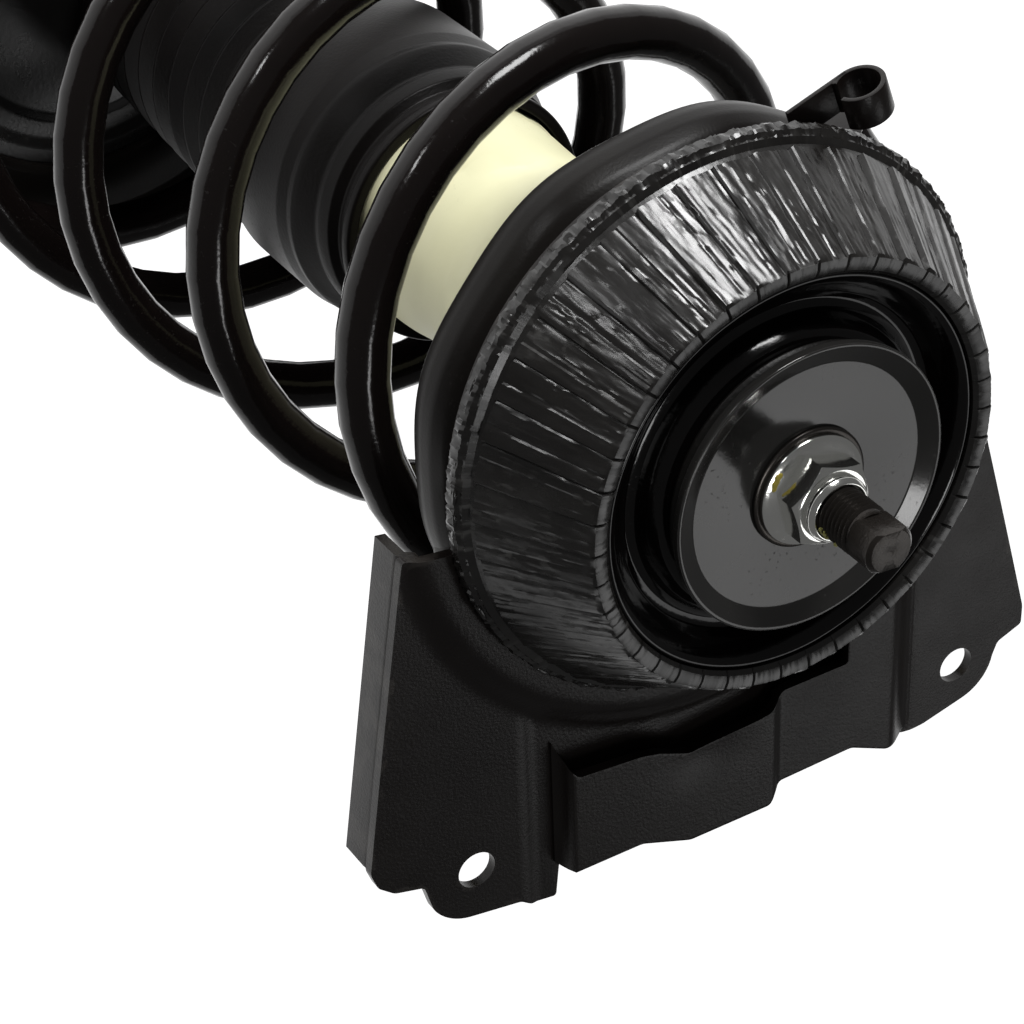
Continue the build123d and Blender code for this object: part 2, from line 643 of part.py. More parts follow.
def base_valve():
    foot = ring(BORE_R + INNER_WALL, 0, plug_top_z, valve_step_z)
    for index in range(VALVE_SLOTS):
        slot = block(VALVE_SLOT, TUBE_R, -VALVE_SLOT / 2, VALVE_SLOT / 2, plug_top_z, plug_top_z + VALVE_PILOT)
        foot -= Rot(0, 0, 360 * index / VALVE_SLOTS) * slot
    return foot + ring(BORE_R, 0, valve_step_z, valve_top_z)


def tube_plug():
    return ring(tube_bore_r, 0, tube_base_z, plug_top_z)


def pan_ring(outer, inner, low, high):
    return Pos(pan_centre[0], pan_centre[1], 0) * ring(outer, inner, low, high)


def lower_seat():
    """Pressed pan, offset outboard with the spring, on a collar round the tube."""
    floor_z = pan_top_z - PAN_T
    pan = pan_ring(PAN_R, 0, floor_z, pan_top_z)
    pan += pan_ring(PAN_R, PAN_R - PAN_T, floor_z, pan_top_z + PAN_RIM_H)
    collar = ring(TUBE_R + PAN_T, TUBE_R, floor_z - PAN_COLLAR_H, floor_z + 1)
    return pan + collar - ring(TUBE_R, 0, floor_z - PAN_COLLAR_H - 1, pan_top_z + 1)


def seat_gusset():
    """Web under the outboard side of the pan."""
    low = pan_top_z - PAN_T - PAN_COLLAR_H
    high = pan_top_z - PAN_T
    root = -TUBE_R - PAN_T
    reach = pan_centre[0] - PAN_R + GUSSET_INSET
    web = make_face(Polyline((root, 0, low), (root, 0, high), (reach, 0, high), (reach, 0, high - GUSSET_LIP),
                             (root - GUSSET_FOOT, 0, low), close=True))
    return extrude(web, GUSSET_T / 2, both=True)


def lower_isolator():
    return pan_ring(PAN_R - PAN_T, PAD_INNER_R, pan_top_z, pan_top_z + PAN_PAD_T)


def knuckle_bracket():
    """Clamp-shaped bracket wrapped round the tube, with two ears for the knuckle."""
    top = bracket_base_z + BRACKET_H
    low = bracket_base_z
    half = EAR_GAP / 2
    wrap = ring(TUBE_R + BRACKET_WALL, 0, low, top)
    for side in (-1, 1):
        inner = side * half
        outer = side * (half + EAR_T)
        wrap += block(-EAR_REACH, 0, min(inner, outer), max(inner, outer), low, top)
    wrap -= ring(TUBE_R, 0, low - 1, top + 1)
    wrap -= block(-EAR_REACH - 1, 0, -half, half, low - 1, top + 1)
    bolt_z = bracket_base_z + BRACKET_H / 2
    for side in (-1, 1):
        bore = Rot(90, 0, 0) * Cylinder(BOLT_R, 4 * EAR_GAP)
        wrap -= Pos(-BOLT_REACH, 0, bolt_z + side * BOLT_PITCH / 2) * bore
    return wrap


def link_tab():
    """Welded tab for the sway-bar link."""
    middle = plan_tab(LINK_TAB_REACH, LINK_TAB_W, LINK_BORE_R)
    low = pan_top_z - LINK_TAB_DROP
    flat = Pos(0, 0, low) * extrude(middle, LINK_TAB_T)
    return flat - ring(TUBE_R, 0, low - 1, low + LINK_TAB_T + 1)


def plan_tab(reach, width, bore):
    """Plan of a tab that stands out of the tube along +Y with a round end and one hole."""
    end_y = TUBE_R + reach - width / 2
    face = Pos(0, end_y / 2) * Rectangle(width, end_y) + Pos(0, end_y) * Circle(width / 2)
    return face - Pos(0, end_y) * Circle(bore)


def hose_tab():
    """Thin tab for the brake hose clip, square to the axle side."""
    low = pan_top_z - HOSE_TAB_DROP
    flat = Pos(0, 0, low) * extrude(plan_tab(HOSE_TAB_REACH, HOSE_TAB_W, HOSE_BORE_R), HOSE_TAB_T)
    return Rot(0, 0, -90) * flat - ring(TUBE_R, 0, low - 1, low + HOSE_TAB_T + 1)


NODES = [piston_rod, rod_nut, nut_seat, mount_washer, top_cushion, mount_cup, inner_sleeve, mount_bush,
         cone_core, ribbed_cone, upper_bracket, dome_ring, bracket_bridge, curled_clip, upper_isolator,
         stop_cup, bump_stop, boot_collar, dust_boot, coil_spring, rebound_stop, piston_shims, piston,
         piston_ring, lower_shims, piston_nut, tube_cap, outer_tube, rod_seal, rod_guide, guide_bush,
         inner_tube, base_valve, tube_plug, lower_seat, seat_gusset, lower_isolator, knuckle_bracket,
         link_tab, hose_tab]

os.makedirs("parts", exist_ok=True)
for make in NODES:
    export_step(make(), "parts/" + make.__name__ + ".step")
print("cap", cap_top_z, "tube base", tube_base_z, "coil base", coil_base_z, "pan top", pan_top_z, pan_centre)
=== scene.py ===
"""Looks of a loaded suspension strut: mount, bracket, spring, boot and damper, built around its frame."""
import logging
import math
import random
from collections.abc import Callable
from dataclasses import dataclass, field
from enum import Enum
from typing import Optional

import bmesh
import bpy
from mathutils import Matrix, Vector, noise


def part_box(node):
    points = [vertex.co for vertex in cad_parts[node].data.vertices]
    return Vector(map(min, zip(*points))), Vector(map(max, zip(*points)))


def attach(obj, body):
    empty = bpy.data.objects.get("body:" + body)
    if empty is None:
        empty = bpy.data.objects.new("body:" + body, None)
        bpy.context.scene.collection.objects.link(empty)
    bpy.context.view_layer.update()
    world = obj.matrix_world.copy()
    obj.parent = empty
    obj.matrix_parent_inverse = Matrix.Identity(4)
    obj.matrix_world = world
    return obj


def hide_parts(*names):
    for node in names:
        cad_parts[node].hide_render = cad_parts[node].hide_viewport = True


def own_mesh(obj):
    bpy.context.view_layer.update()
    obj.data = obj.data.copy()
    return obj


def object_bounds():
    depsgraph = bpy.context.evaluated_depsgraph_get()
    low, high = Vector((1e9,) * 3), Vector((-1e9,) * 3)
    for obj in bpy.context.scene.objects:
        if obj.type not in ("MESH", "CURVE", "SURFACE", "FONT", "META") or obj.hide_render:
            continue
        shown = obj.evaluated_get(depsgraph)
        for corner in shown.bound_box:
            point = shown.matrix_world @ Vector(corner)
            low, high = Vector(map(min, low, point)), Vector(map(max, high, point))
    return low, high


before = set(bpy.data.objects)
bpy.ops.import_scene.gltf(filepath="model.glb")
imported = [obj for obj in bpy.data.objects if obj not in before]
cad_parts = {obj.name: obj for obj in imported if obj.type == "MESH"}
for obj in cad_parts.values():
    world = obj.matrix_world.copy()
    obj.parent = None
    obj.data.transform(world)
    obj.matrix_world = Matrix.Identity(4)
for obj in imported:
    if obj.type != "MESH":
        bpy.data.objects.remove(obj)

CAD_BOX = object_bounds()
MM = 0.001
FULL_TURN = 2.0 * math.pi
TOP_BODY = "top_mount"
TUBE_BODY = "strut_tube"
log = logging.getLogger("strut")

Profile = list[tuple[float, float]]


class Grain(Enum):
    """How a finish's fine relief is laid out."""

    ORANGE_PEEL = "orange peel"
    TURNED = "turned"


@dataclass(frozen=True)
class Finish:
    """One surface finish, built as a procedural material.

    Colours are linear RGB. Scales are cells per metre, as the frame is in metres.
    """

    name: str
    colour: tuple[float, float, float]
    tint: tuple[float, float, float]
    roughness: float
    roughness_swing: float = 0.08
    metallic: float = 0.0
    coat: float = 0.0
    coat_roughness: float = 0.05
    specular: float = 0.5
    grain: Grain = Grain.ORANGE_PEEL
    grain_scale: float = 900.0
    grain_depth: float = 0.04
    wave_scale: float = 60.0
    wave_depth: float = 0.0
    blotch_scale: float = 25.0
    dust_colour: tuple[float, float, float] = (0.30, 0.29, 0.27)
    dust_amount: float = 0.0
    dust_scale: float = 420.0
    dust_spread: float = 18.0
    worn_colour: Optional[tuple[float, float, float]] = None
    worn_amount: float = 0.0
    streaks: float = 0.0
    glow: float = 0.0

    def material(self) -> bpy.types.Material:
        """Build the finish's material, or fetch it when it is already built.

        Returns:
            The material.
        """
        label = f"{self.name}_finish"
        known = bpy.data.materials.get(label)
        if known is not None:
            return known
        made = bpy.data.materials.new(label)
        made.use_nodes = True
        sheet = NodeSheet(made.node_tree)
        shader = sheet.shader
        place = sheet.node("ShaderNodeTexCoord").outputs["Object"]
        if self.streaks > 0:
            place = sheet.around_axis(place, self.streaks)
        blotch = sheet.noise(place, self.blotch_scale, 4.0)
        colour = sheet.blend(sheet.ramp(blotch, 0.3, 0.7), self.colour, self.tint)
        rough = sheet.linear(sheet.noise(place, self.blotch_scale * 3.1, 3.0), self.roughness_swing,
                             self.roughness - self.roughness_swing / 2)
        if self.dust_amount > 0:
            specks = sheet.ramp(sheet.noise(place, self.dust_scale, 3.0), 0.62 - self.dust_amount * 0.18,
                                0.74)
            patches = sheet.ramp(sheet.noise(place, self.dust_spread, 3.0), 0.42, 0.68)
            dust = sheet.times(specks, patches)
            colour = sheet.mix_colours(sheet.linear(dust, min(1.0, self.dust_amount * 1.4), 0.0), colour,
                                       self.dust_colour)
            rough = sheet.plus(rough, sheet.linear(dust, 0.35, 0.0))
        if self.worn_colour is not None:
            edge = sheet.ramp(sheet.node("ShaderNodeNewGeometry").outputs["Pointiness"], 0.56, 0.66)
            worn = sheet.times(edge, sheet.ramp(sheet.noise(place, 140.0, 4.0), 0.48, 0.62))
            colour = sheet.mix_colours(sheet.linear(worn, self.worn_amount, 0.0), colour, self.worn_colour)
        sheet.join(colour, shader.inputs["Base Color"])
        sheet.join(rough, shader.inputs["Roughness"])
        shader.inputs["Metallic"].default_value = self.metallic
        shader.inputs["Coat Weight"].default_value = self.coat
        shader.inputs["Coat Roughness"].default_value = self.coat_roughness
        shader.inputs["Specular IOR Level"].default_value = self.specular
        shader.inputs["Emission Color"].default_value = (1.0, 1.0, 1.0, 1.0)
        shader.inputs["Emission Strength"].default_value = self.glow
        sheet.join(self.relief(sheet, place), shader.inputs["Normal"])
        return made

    def relief(self, sheet: "NodeSheet", place: bpy.types.NodeSocket) -> bpy.types.NodeSocket:
        """Lay the finish's fine relief over its slow waviness.

        Args:
            sheet: The material's node sheet.
            place: Coordinates that the pattern follows.

        Returns:
            The normal for the shader.
        """
        if self.grain is Grain.TURNED:
            fine = sheet.turned_rings(place, self.grain_scale)
        else:
            fine = sheet.noise(place, self.grain_scale, 2.0)
        slow = sheet.bump(sheet.noise(place, self.wave_scale, 2.0), self.wave_depth, None)
        return sheet.bump(fine, self.grain_depth, slow)

    def dress(self, piece: bpy.types.Object) -> None:
        """Give a piece this finish on all of its faces."""
        piece.data.materials.clear()
        piece.data.materials.append(self.material())

    def dress_node(self, node: str) -> None:
        """Give a frame node's material slots this finish."""
        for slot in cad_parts[node].material_slots:
            slot.material = self.material()


class NodeSheet:
    """Small helpers that add and join shader nodes in one material."""

    def __init__(self, tree: bpy.types.NodeTree) -> None:
        """Keep the tree and find its shader."""
        self.tree = tree
        self.shader = next(n for n in tree.nodes if n.type == "BSDF_PRINCIPLED")

    def node(self, kind: str) -> bpy.types.Node:
        """Add a node of a kind."""
        return self.tree.nodes.new(kind)

    def join(self, source: bpy.types.NodeSocket, target: bpy.types.NodeSocket) -> None:
        """Link an output to an input."""
        self.tree.links.new(source, target)

    def maths(self, operation: str, first: object, second: object = 0.0) -> bpy.types.NodeSocket:
        """Add a maths node.

        Args:
            operation: Name of the operation.
            first: Socket or number for the first input.
            second: Socket or number for the second input.

        Returns:
            The node's output.
        """
        node = self.node("ShaderNodeMath")
        node.operation = operation
        for value, target in ((first, node.inputs[0]), (second, node.inputs[1])):
            if isinstance(value, (int, float)):
                target.default_value = value
            else:
                self.join(value, target)
        return node.outputs[0]

    def plus(self, first: object, second: object) -> bpy.types.NodeSocket:
        """Add two values."""
        return self.maths("ADD", first, second)

    def times(self, first: object, second: object) -> bpy.types.NodeSocket:
        """Multiply two values."""
        return self.maths("MULTIPLY", first, second)

    def linear(self, value: bpy.types.NodeSocket, gain: float, offset: float) -> bpy.types.NodeSocket:
        """Scale a value and add an offset."""
        return self.plus(self.times(value, gain), offset)

    def noise(self, place: bpy.types.NodeSocket, scale: float, detail: float) -> bpy.types.NodeSocket:
        """Add a noise pattern and give its value."""
        node = self.node("ShaderNodeTexNoise")
        node.inputs["Scale"].default_value = scale
        node.inputs["Detail"].default_value = detail
        self.join(place, node.inputs["Vector"])
        return node.outputs["Fac"]

    def turned_rings(self, place: bpy.types.NodeSocket, scale: float) -> bpy.types.NodeSocket:
        """Give fine tool rings that run round the rod axis."""
        radius = self.radius(place)
        height = self.parts(place)[2]
        spread = self.node("ShaderNodeCombineXYZ")
        self.join(radius, spread.inputs[0])
        self.join(height, spread.inputs[1])
        return self.noise(spread.outputs[0], scale, 2.0)

    def parts(self, place: bpy.types.NodeSocket) -> list[bpy.types.NodeSocket]:
        """Split coordinates into their three parts."""
        split = self.node("ShaderNodeSeparateXYZ")
        self.join(place, split.inputs[0])
        return list(split.outputs)

    def radius(self, place: bpy.types.NodeSocket) -> bpy.types.NodeSocket:
        """Give the distance from the rod axis."""
        across, along, _ = self.parts(place)
        return self.maths("SQRT", self.plus(self.times(across, across), self.times(along, along)))

    def around_axis(self, place: bpy.types.NodeSocket, stretch: float) -> bpy.types.NodeSocket:
        """Lay coordinates round the rod axis, drawn out up and down.

        Args:
            place: Object coordinates.
            stretch: How many times longer the pattern is along the axis.

        Returns:
            The new coordinates.
        """
        across, along, height = self.parts(place)
        turn = self.maths("ARCTAN2", along, across)
        spread = self.node("ShaderNodeCombineXYZ")
        self.join(self.times(turn, 0.058), spread.inputs[0])
        self.join(self.times(height, 1.0 / stretch), spread.inputs[1])
        return spread.outputs[0]

    def ramp(self, value: bpy.types.NodeSocket, low: float, high: float) -> bpy.types.NodeSocket:
        """Turn a value into a soft step between two levels."""
        node = self.node("ShaderNodeMapRange")
        node.interpolation_type = "SMOOTHSTEP"
        node.inputs["From Min"].default_value = low
        node.inputs["From Max"].default_value = high
        self.join(value, node.inputs["Value"])
        return node.outputs["Result"]

    def blend(self, share: bpy.types.NodeSocket, first: tuple[float, float, float],
              second: tuple[float, float, float]) -> bpy.types.NodeSocket:
        """Blend two fixed colours."""
        node = self.colour_mix(share)
        node.inputs[6].default_value = (*first, 1.0)
        node.inputs[7].default_value = (*second, 1.0)
        return node.outputs[2]

    def mix_colours(self, share: bpy.types.NodeSocket, under: bpy.types.NodeSocket,
                    over: tuple[float, float, float]) -> bpy.types.NodeSocket:
        """Lay a fixed colour over a patterned one."""
        node = self.colour_mix(share)
        self.join(under, node.inputs[6])
        node.inputs[7].default_value = (*over, 1.0)
        return node.outputs[2]

    def colour_mix(self, share: bpy.types.NodeSocket) -> bpy.types.Node:
        """Add a colour mixing node."""
        node = self.node("ShaderNodeMix")
        node.data_type = "RGBA"
        self.join(share, node.inputs["Factor"])
        return node

    def bump(self, height: bpy.types.NodeSocket, depth: float,
             under: Optional[bpy.types.NodeSocket]) -> bpy.types.NodeSocket:
        """Add a bump node on top of another normal."""
        node = self.node("ShaderNodeBump")
        node.inputs["Strength"].default_value = min(1.0, depth)
        node.inputs["Distance"].default_value = 0.0006
        self.join(height, node.inputs["Height"])
        if under is not None:
            self.join(under, node.inputs["Normal"])
        return node.outputs["Normal"]


BRACKET_COAT = Finish("bracket_coat", (0.0056, 0.0040, 0.0036), (0.0092, 0.0074, 0.0066), 0.30, 0.14,
                      specular=0.20, grain_scale=1400.0, grain_depth=0.10, wave_scale=45.0, wave_depth=0.08,
                      dust_amount=0.16, dust_scale=1500.0, dust_spread=16.0, dust_colour=(0.07, 0.065, 0.06),
                      worn_colour=(0.05, 0.045, 0.04), worn_amount=0.35)
SPRING_COAT = Finish("spring_coat", (0.0048, 0.0033, 0.0031), (0.0066, 0.0050, 0.0046), 0.14, 0.05,
                     specular=0.25, grain_scale=700.0, grain_depth=0.06, wave_scale=90.0, wave_depth=0.05,
                     dust_amount=0.04, dust_scale=900.0, dust_spread=20.0, dust_colour=(0.06, 0.055, 0.05))
CUP_COAT = Finish("cup_coat", (0.0014, 0.0011, 0.0012), (0.0028, 0.0023, 0.0023), 0.10, 0.05,
                  specular=0.28, grain_scale=500.0, grain_depth=0.05, wave_scale=70.0, wave_depth=0.20,
                  dust_amount=0.03, dust_scale=900.0, dust_colour=(0.05, 0.045, 0.04))
WASHER_COAT = Finish("washer_coat", (0.019, 0.0185, 0.0175), (0.026, 0.025, 0.024), 0.13, 0.05,
                     grain_scale=900.0, grain_depth=0.02, wave_scale=30.0, wave_depth=0.03,
                     dust_amount=0.08, dust_scale=900.0, dust_spread=30.0, dust_colour=(0.09, 0.085, 0.08),
                     metallic=0.22, specular=0.5)
CONE_RUBBER = Finish("cone_rubber", (0.0045, 0.0038, 0.0035), (0.0125, 0.0115, 0.0105), 0.25, 0.40,
                     specular=0.50, grain_scale=520.0, grain_depth=0.10, wave_scale=80.0, wave_depth=0.11,
                     blotch_scale=48.0, dust_amount=0.42, dust_scale=520.0, dust_spread=60.0, streaks=2.2,
                     dust_colour=(0.055, 0.053, 0.049))
ISOLATOR_RUBBER = Finish("isolator_rubber", (0.0050, 0.0040, 0.0036), (0.0085, 0.0073, 0.0062), 0.34, 0.10,
                         specular=0.13, grain_scale=1500.0, grain_depth=0.06, wave_scale=30.0,
                         wave_depth=0.06, dust_amount=0.10, dust_scale=1200.0, dust_colour=(0.05, 0.047,
                             0.042))
DARK_RUBBER = Finish("dark_rubber", (0.0034, 0.0030, 0.0028), (0.0065, 0.0060, 0.0055), 0.40, 0.12,
                     specular=0.15, grain_scale=900.0, grain_depth=0.20, dust_amount=0.15, dust_scale=900.0,
                     dust_colour=(0.05, 0.047, 0.043))
BOOT_RUBBER = Finish("boot_rubber", (0.0036, 0.0028, 0.0027), (0.0058, 0.0047, 0.0043), 0.36, 0.08,
                     specular=0.11, grain_scale=1300.0, grain_depth=0.10, wave_scale=40.0, wave_depth=0.05,
                     dust_amount=0.12, dust_scale=1100.0, dust_colour=(0.05, 0.047, 0.043))
STOP_FOAM = Finish("stop_foam", (0.78, 0.76, 0.49), (0.84, 0.82, 0.56), 0.36, 0.10,
                   grain_scale=600.0, grain_depth=0.04, wave_scale=35.0, wave_depth=0.10,
                   dust_amount=0.10, dust_scale=1100.0, dust_spread=30.0, dust_colour=(0.20, 0.17, 0.08),
                   specular=0.15)
ZINC = Finish("zinc", (0.80, 0.80, 0.77), (0.88, 0.88, 0.85), 0.13, 0.08, metallic=1.0,
              grain_scale=1800.0, grain_depth=0.05, wave_scale=260.0, wave_depth=0.05,
              dust_amount=0.12, dust_scale=900.0, dust_colour=(0.12, 0.10, 0.08))
THREAD_STEEL = Finish("thread_steel", (0.018, 0.0155, 0.0135), (0.036, 0.031, 0.027), 0.28, 0.12,
                      metallic=0.6,
                      grain_scale=1600.0, grain_depth=0.10, dust_amount=0.15, dust_scale=900.0,
                      dust_colour=(0.09, 0.075, 0.055))
SEAT_STEEL = Finish("seat_steel", (0.030, 0.027, 0.025), (0.05, 0.045, 0.04), 0.26, 0.10, metallic=0.8,
                    grain=Grain.TURNED, grain_scale=2600.0, grain_depth=0.08)
CHROMED_ROD = Finish("chromed_rod", (0.55, 0.55, 0.56), (0.62, 0.62, 0.63), 0.10, 0.04, metallic=1.0,
                     grain=Grain.TURNED, grain_scale=3000.0, grain_depth=0.02)
TUBE_COAT = Finish("tube_coat", (0.0065, 0.006, 0.006), (0.0105, 0.0098, 0.0095), 0.28, 0.08,
                   grain_scale=1000.0, grain_depth=0.10, wave_scale=50.0, wave_depth=0.05,
                   dust_amount=0.18, dust_scale=1100.0, coat=0.3, coat_roughness=0.18,
                   dust_colour=(0.09, 0.085, 0.08), worn_colour=(0.08, 0.07, 0.065), worn_amount=0.30)
WELD_COAT = Finish("weld_coat", (0.007, 0.0065, 0.0065), (0.013, 0.012, 0.0115), 0.34, 0.12,
                   grain_scale=700.0, grain_depth=0.35, dust_amount=0.2, dust_colour=(0.09, 0.085, 0.08),
                   coat=0.2, coat_roughness=0.2)
PAINT_MARK = Finish("paint_mark", (0.24, 0.19, 0.012), (0.32, 0.26, 0.02), 0.45, 0.10,
                    grain_scale=900.0, grain_depth=0.25)
THREAD_LOCK = Finish("thread_lock", (0.20, 0.19, 0.05), (0.28, 0.27, 0.08), 0.40, 0.15,
                     grain_scale=900.0, grain_depth=0.5)
SINTERED = Finish("sintered_iron", (0.16, 0.155, 0.15), (0.21, 0.20, 0.195), 0.50, 0.12, metallic=0.8,
                  grain_scale=2200.0, grain_depth=0.25)
BRONZE = Finish("bronze_bush", (0.42, 0.27, 0.12), (0.48, 0.32, 0.15), 0.34, 0.10, metallic=1.0,
                grain_scale=2500.0, grain_depth=0.10)
BARE_TUBE = Finish("bare_tube", (0.34, 0.34, 0.33), (0.40, 0.40, 0.39), 0.30, 0.10, metallic=1.0,
                   grain=Grain.TURNED, grain_scale=1500.0, grain_depth=0.05)
BAND_PLASTIC = Finish("band_plastic", (0.18, 0.12, 0.07), (0.22, 0.15, 0.09), 0.48, 0.10,
                      grain_scale=1500.0, grain_depth=0.10)
FLOOR_PAPER = Finish("floor_paper", (0.93, 0.93, 0.93), (0.95, 0.95, 0.95), 0.85, 0.05,
                     grain_scale=300.0, grain_depth=0.03, blotch_scale=2.0, specular=0.1, glow=0.72)


def span(node: str) -> tuple[Vector, Vector]:
    """Give a frame node's lowest and highest corners in millimetres."""
    low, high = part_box(node)
    return Vector(low) / MM, Vector(high) / MM


class Maker:
    """Turns bmesh shapes in millimetres into finished pieces in the frame's metres."""

    @staticmethod
    def lathe(profile: Profile, fillet: float = 0.3, steps: int = 128, segments: int = 3,
              centre: tuple[float, float] = (0.0, 0.0), angle: float = FULL_TURN) -> bmesh.types.BMesh:
        """Turn a closed profile about an upright axis.

        Args:
            profile: Closed outline as (radius, height) points.
            fillet: Rounding of every corner.
            steps: Steps of the turn.
            segments: Segments of each rounded corner.
            centre: Plan position of the axis.
            angle: How far the profile is turned.

        Returns:
            The turned solid.
        """
        shape = bmesh.new()
        corners = [shape.verts.new((radius, 0.0, height)) for radius, height in profile]
        outline = shape.faces.new(corners)
        if fillet > 0:
            bmesh.ops.bevel(shape, geom=list(shape.verts), offset=fillet, affect="VERTICES",
                            segments=segments, profile=0.5, clamp_overlap=True, material=-1)
            outline = shape.faces[:][0] if not outline.is_valid else outline
        bmesh.ops.delete(shape, geom=list(shape.faces), context="FACES_ONLY")
        whole = abs(angle - FULL_TURN) < 1e-6
        bmesh.ops.spin(shape, geom=list(shape.verts) + list(shape.edges), cent=(0, 0, 0), axis=(0, 0, 1),
                       dvec=(0, 0, 0), angle=angle, steps=steps, use_merge=whole)
        bmesh.ops.remove_doubles(shape, verts=list(shape.verts), dist=1e-4)
        bmesh.ops.translate(shape, verts=list(shape.verts), vec=(*centre, 0.0))
        bmesh.ops.recalc_face_normals(shape, faces=list(shape.faces))
        return shape

    @staticmethod
    def prism(outline: list[tuple[float, float]], low: float, high: float,
              rounding: float = 0.0) -> bmesh.types.BMesh:
        """Raise a flat outline into a closed block.

        Args:
            outline: Plan corners in order.
            low: Height of the underside.
            high: Height of the top.
            rounding: Rounding of the outline's corners.

        Returns:
            The block.
        """
        shape = bmesh.new()
        shape.faces.new([shape.verts.new((x, y, low)) for x, y in outline])
        if rounding > 0:
            bmesh.ops.bevel(shape, geom=list(shape.verts), offset=rounding, affect="VERTICES", segments=4,
                            profile=0.5, clamp_overlap=True, material=-1)
        raised = bmesh.ops.extrude_face_region(shape, geom=list(shape.faces))
        lifted = [item for item in raised["geom"] if isinstance(item, bmesh.types.BMVert)]
        bmesh.ops.translate(shape, verts=lifted, vec=(0, 0, high - low))
        bmesh.ops.recalc_face_normals(shape, faces=list(shape.faces))
        return shape

    @staticmethod
    def block(low: Vector, high: Vector) -> bmesh.types.BMesh:
        """Make a box between two corners."""
        shape = bmesh.new()
        bmesh.ops.create_cube(shape, size=1.0)
        size = high - low
        bmesh.ops.scale(shape, vec=size, verts=list(shape.verts))
        bmesh.ops.translate(shape, vec=(low + high) / 2, verts=list(shape.verts))
        return shape

    @staticmethod
    def post(radius: float, low: float, high: float, place: tuple[float, float] = (0.0, 0.0),
             segments: int = 64) -> bmesh.types.BMesh:
        """Make an upright cylinder."""
        shape = bmesh.new()
        bmesh.ops.create_cone(shape, cap_ends=True, segments=segments, radius1=radius, radius2=radius,
                              depth=high - low)
        bmesh.ops.translate(shape, vec=(*place, (low + high) / 2), verts=list(shape.verts))
        return shape

    @staticmethod
    def join(target: bmesh.types.BMesh, extra: bmesh.types.BMesh) -> bmesh.types.BMesh:
        """Add one shape's shell to another and free the second."""
        mesh = bpy.data.meshes.new("joining")
        extra.to_mesh(mesh)
        extra.free()
        target.from_mesh(mesh)
        bpy.data.meshes.remove(mesh)
        return target

    @staticmethod
    def as_object(name: str, shape: bmesh.types.BMesh) -> bpy.types.Object:
        """Make an object, still in millimetres, from a shape and free the shape."""
        mesh = bpy.data.meshes.new(name)
        shape.to_mesh(mesh)
        shape.free()
        made = bpy.data.objects.new(name, mesh)
        bpy.context.scene.collection.objects.link(made)
        return made

    @staticmethod
    def settle(piece: bpy.types.Object) -> None:
        """Apply a piece's modifiers to its mesh."""
        baked = bpy.data.meshes.new_from_object(piece.evaluated_get(bpy.context.evaluated_depsgraph_get()))
        piece.modifiers.clear()
        spare = piece.data
        piece.data = baked
        bpy.data.meshes.remove(spare)
        baked.name = piece.name

    @classmethod
    def carve(cls, target: bmesh.types.BMesh, tool: bmesh.types.BMesh, operation: str) -> bmesh.types.BMesh:
        """Cut, join or intersect one closed shape with another.

        Args:
            target: Shape that is changed, and freed.
            tool: Shape that changes it, and is freed.
            operation: DIFFERENCE, UNION or INTERSECT.

        Returns:
            The new shape.
        """
        body = cls.as_object("carving", target)
        knife = cls.as_object("carving_tool", tool)
        step = body.modifiers.new("carve", "BOOLEAN")
        step.object = knife
        step.operation = operation
        step.solver = "EXACT"
        bpy.context.view_layer.update()
        cls.settle(body)
        shape = bmesh.new()
        shape.from_mesh(body.data)
        for spare in (body, knife):
            mesh = spare.data
            bpy.data.objects.remove(spare)
            bpy.data.meshes.remove(mesh)
        return shape

    @classmethod
    def melt(cls, shape: bmesh.types.BMesh, cell: float, rounds: int = 2) -> bmesh.types.BMesh:
        """Fuse overlapping shells into one skin with soft edges, as pressed and painted sheet has.

        Args:
            shape: Shape to fuse, which is freed.
            cell: Cell size of the new skin.
            rounds: Rounds of smoothing.

        Returns:
            The fused shape.
        """
        body = cls.as_object("melting", shape)
        step = body.modifiers.new("melt", "REMESH")
        step.mode = "VOXEL"
        step.voxel_size = cell
        bpy.context.view_layer.update()
        cls.settle(body)
        fused = bmesh.new()
        fused.from_mesh(body.data)
        mesh = body.data
        bpy.data.objects.remove(body)
        bpy.data.meshes.remove(mesh)
        for _ in range(rounds):
            bmesh.ops.smooth_vert(fused, verts=list(fused.verts), factor=0.5, use_axis_x=True,
                                  use_axis_y=True, use_axis_z=True)
        return fused

    @staticmethod
    def ease(shape: bmesh.types.BMesh, width: float, sharp: float = 40.0,
             segments: int = 2) -> bmesh.types.BMesh:
        """Round every edge that is sharper than an angle.

        Args:
            shape: Shape to round.
            width: Width of the rounding.
            sharp: Least angle between faces, in degrees.
            segments: Segments of the rounding.

        Returns:
            The same shape.
        """
        edges = [edge for edge in shape.edges
                 if len(edge.link_faces) == 2 and edge.calc_face_angle(0.0) > math.radians(sharp)]
        bmesh.ops.bevel(shape, geom=edges, offset=width, affect="EDGES", segments=segments, profile=0.5,
                        clamp_overlap=True, material=-1)
        return shape

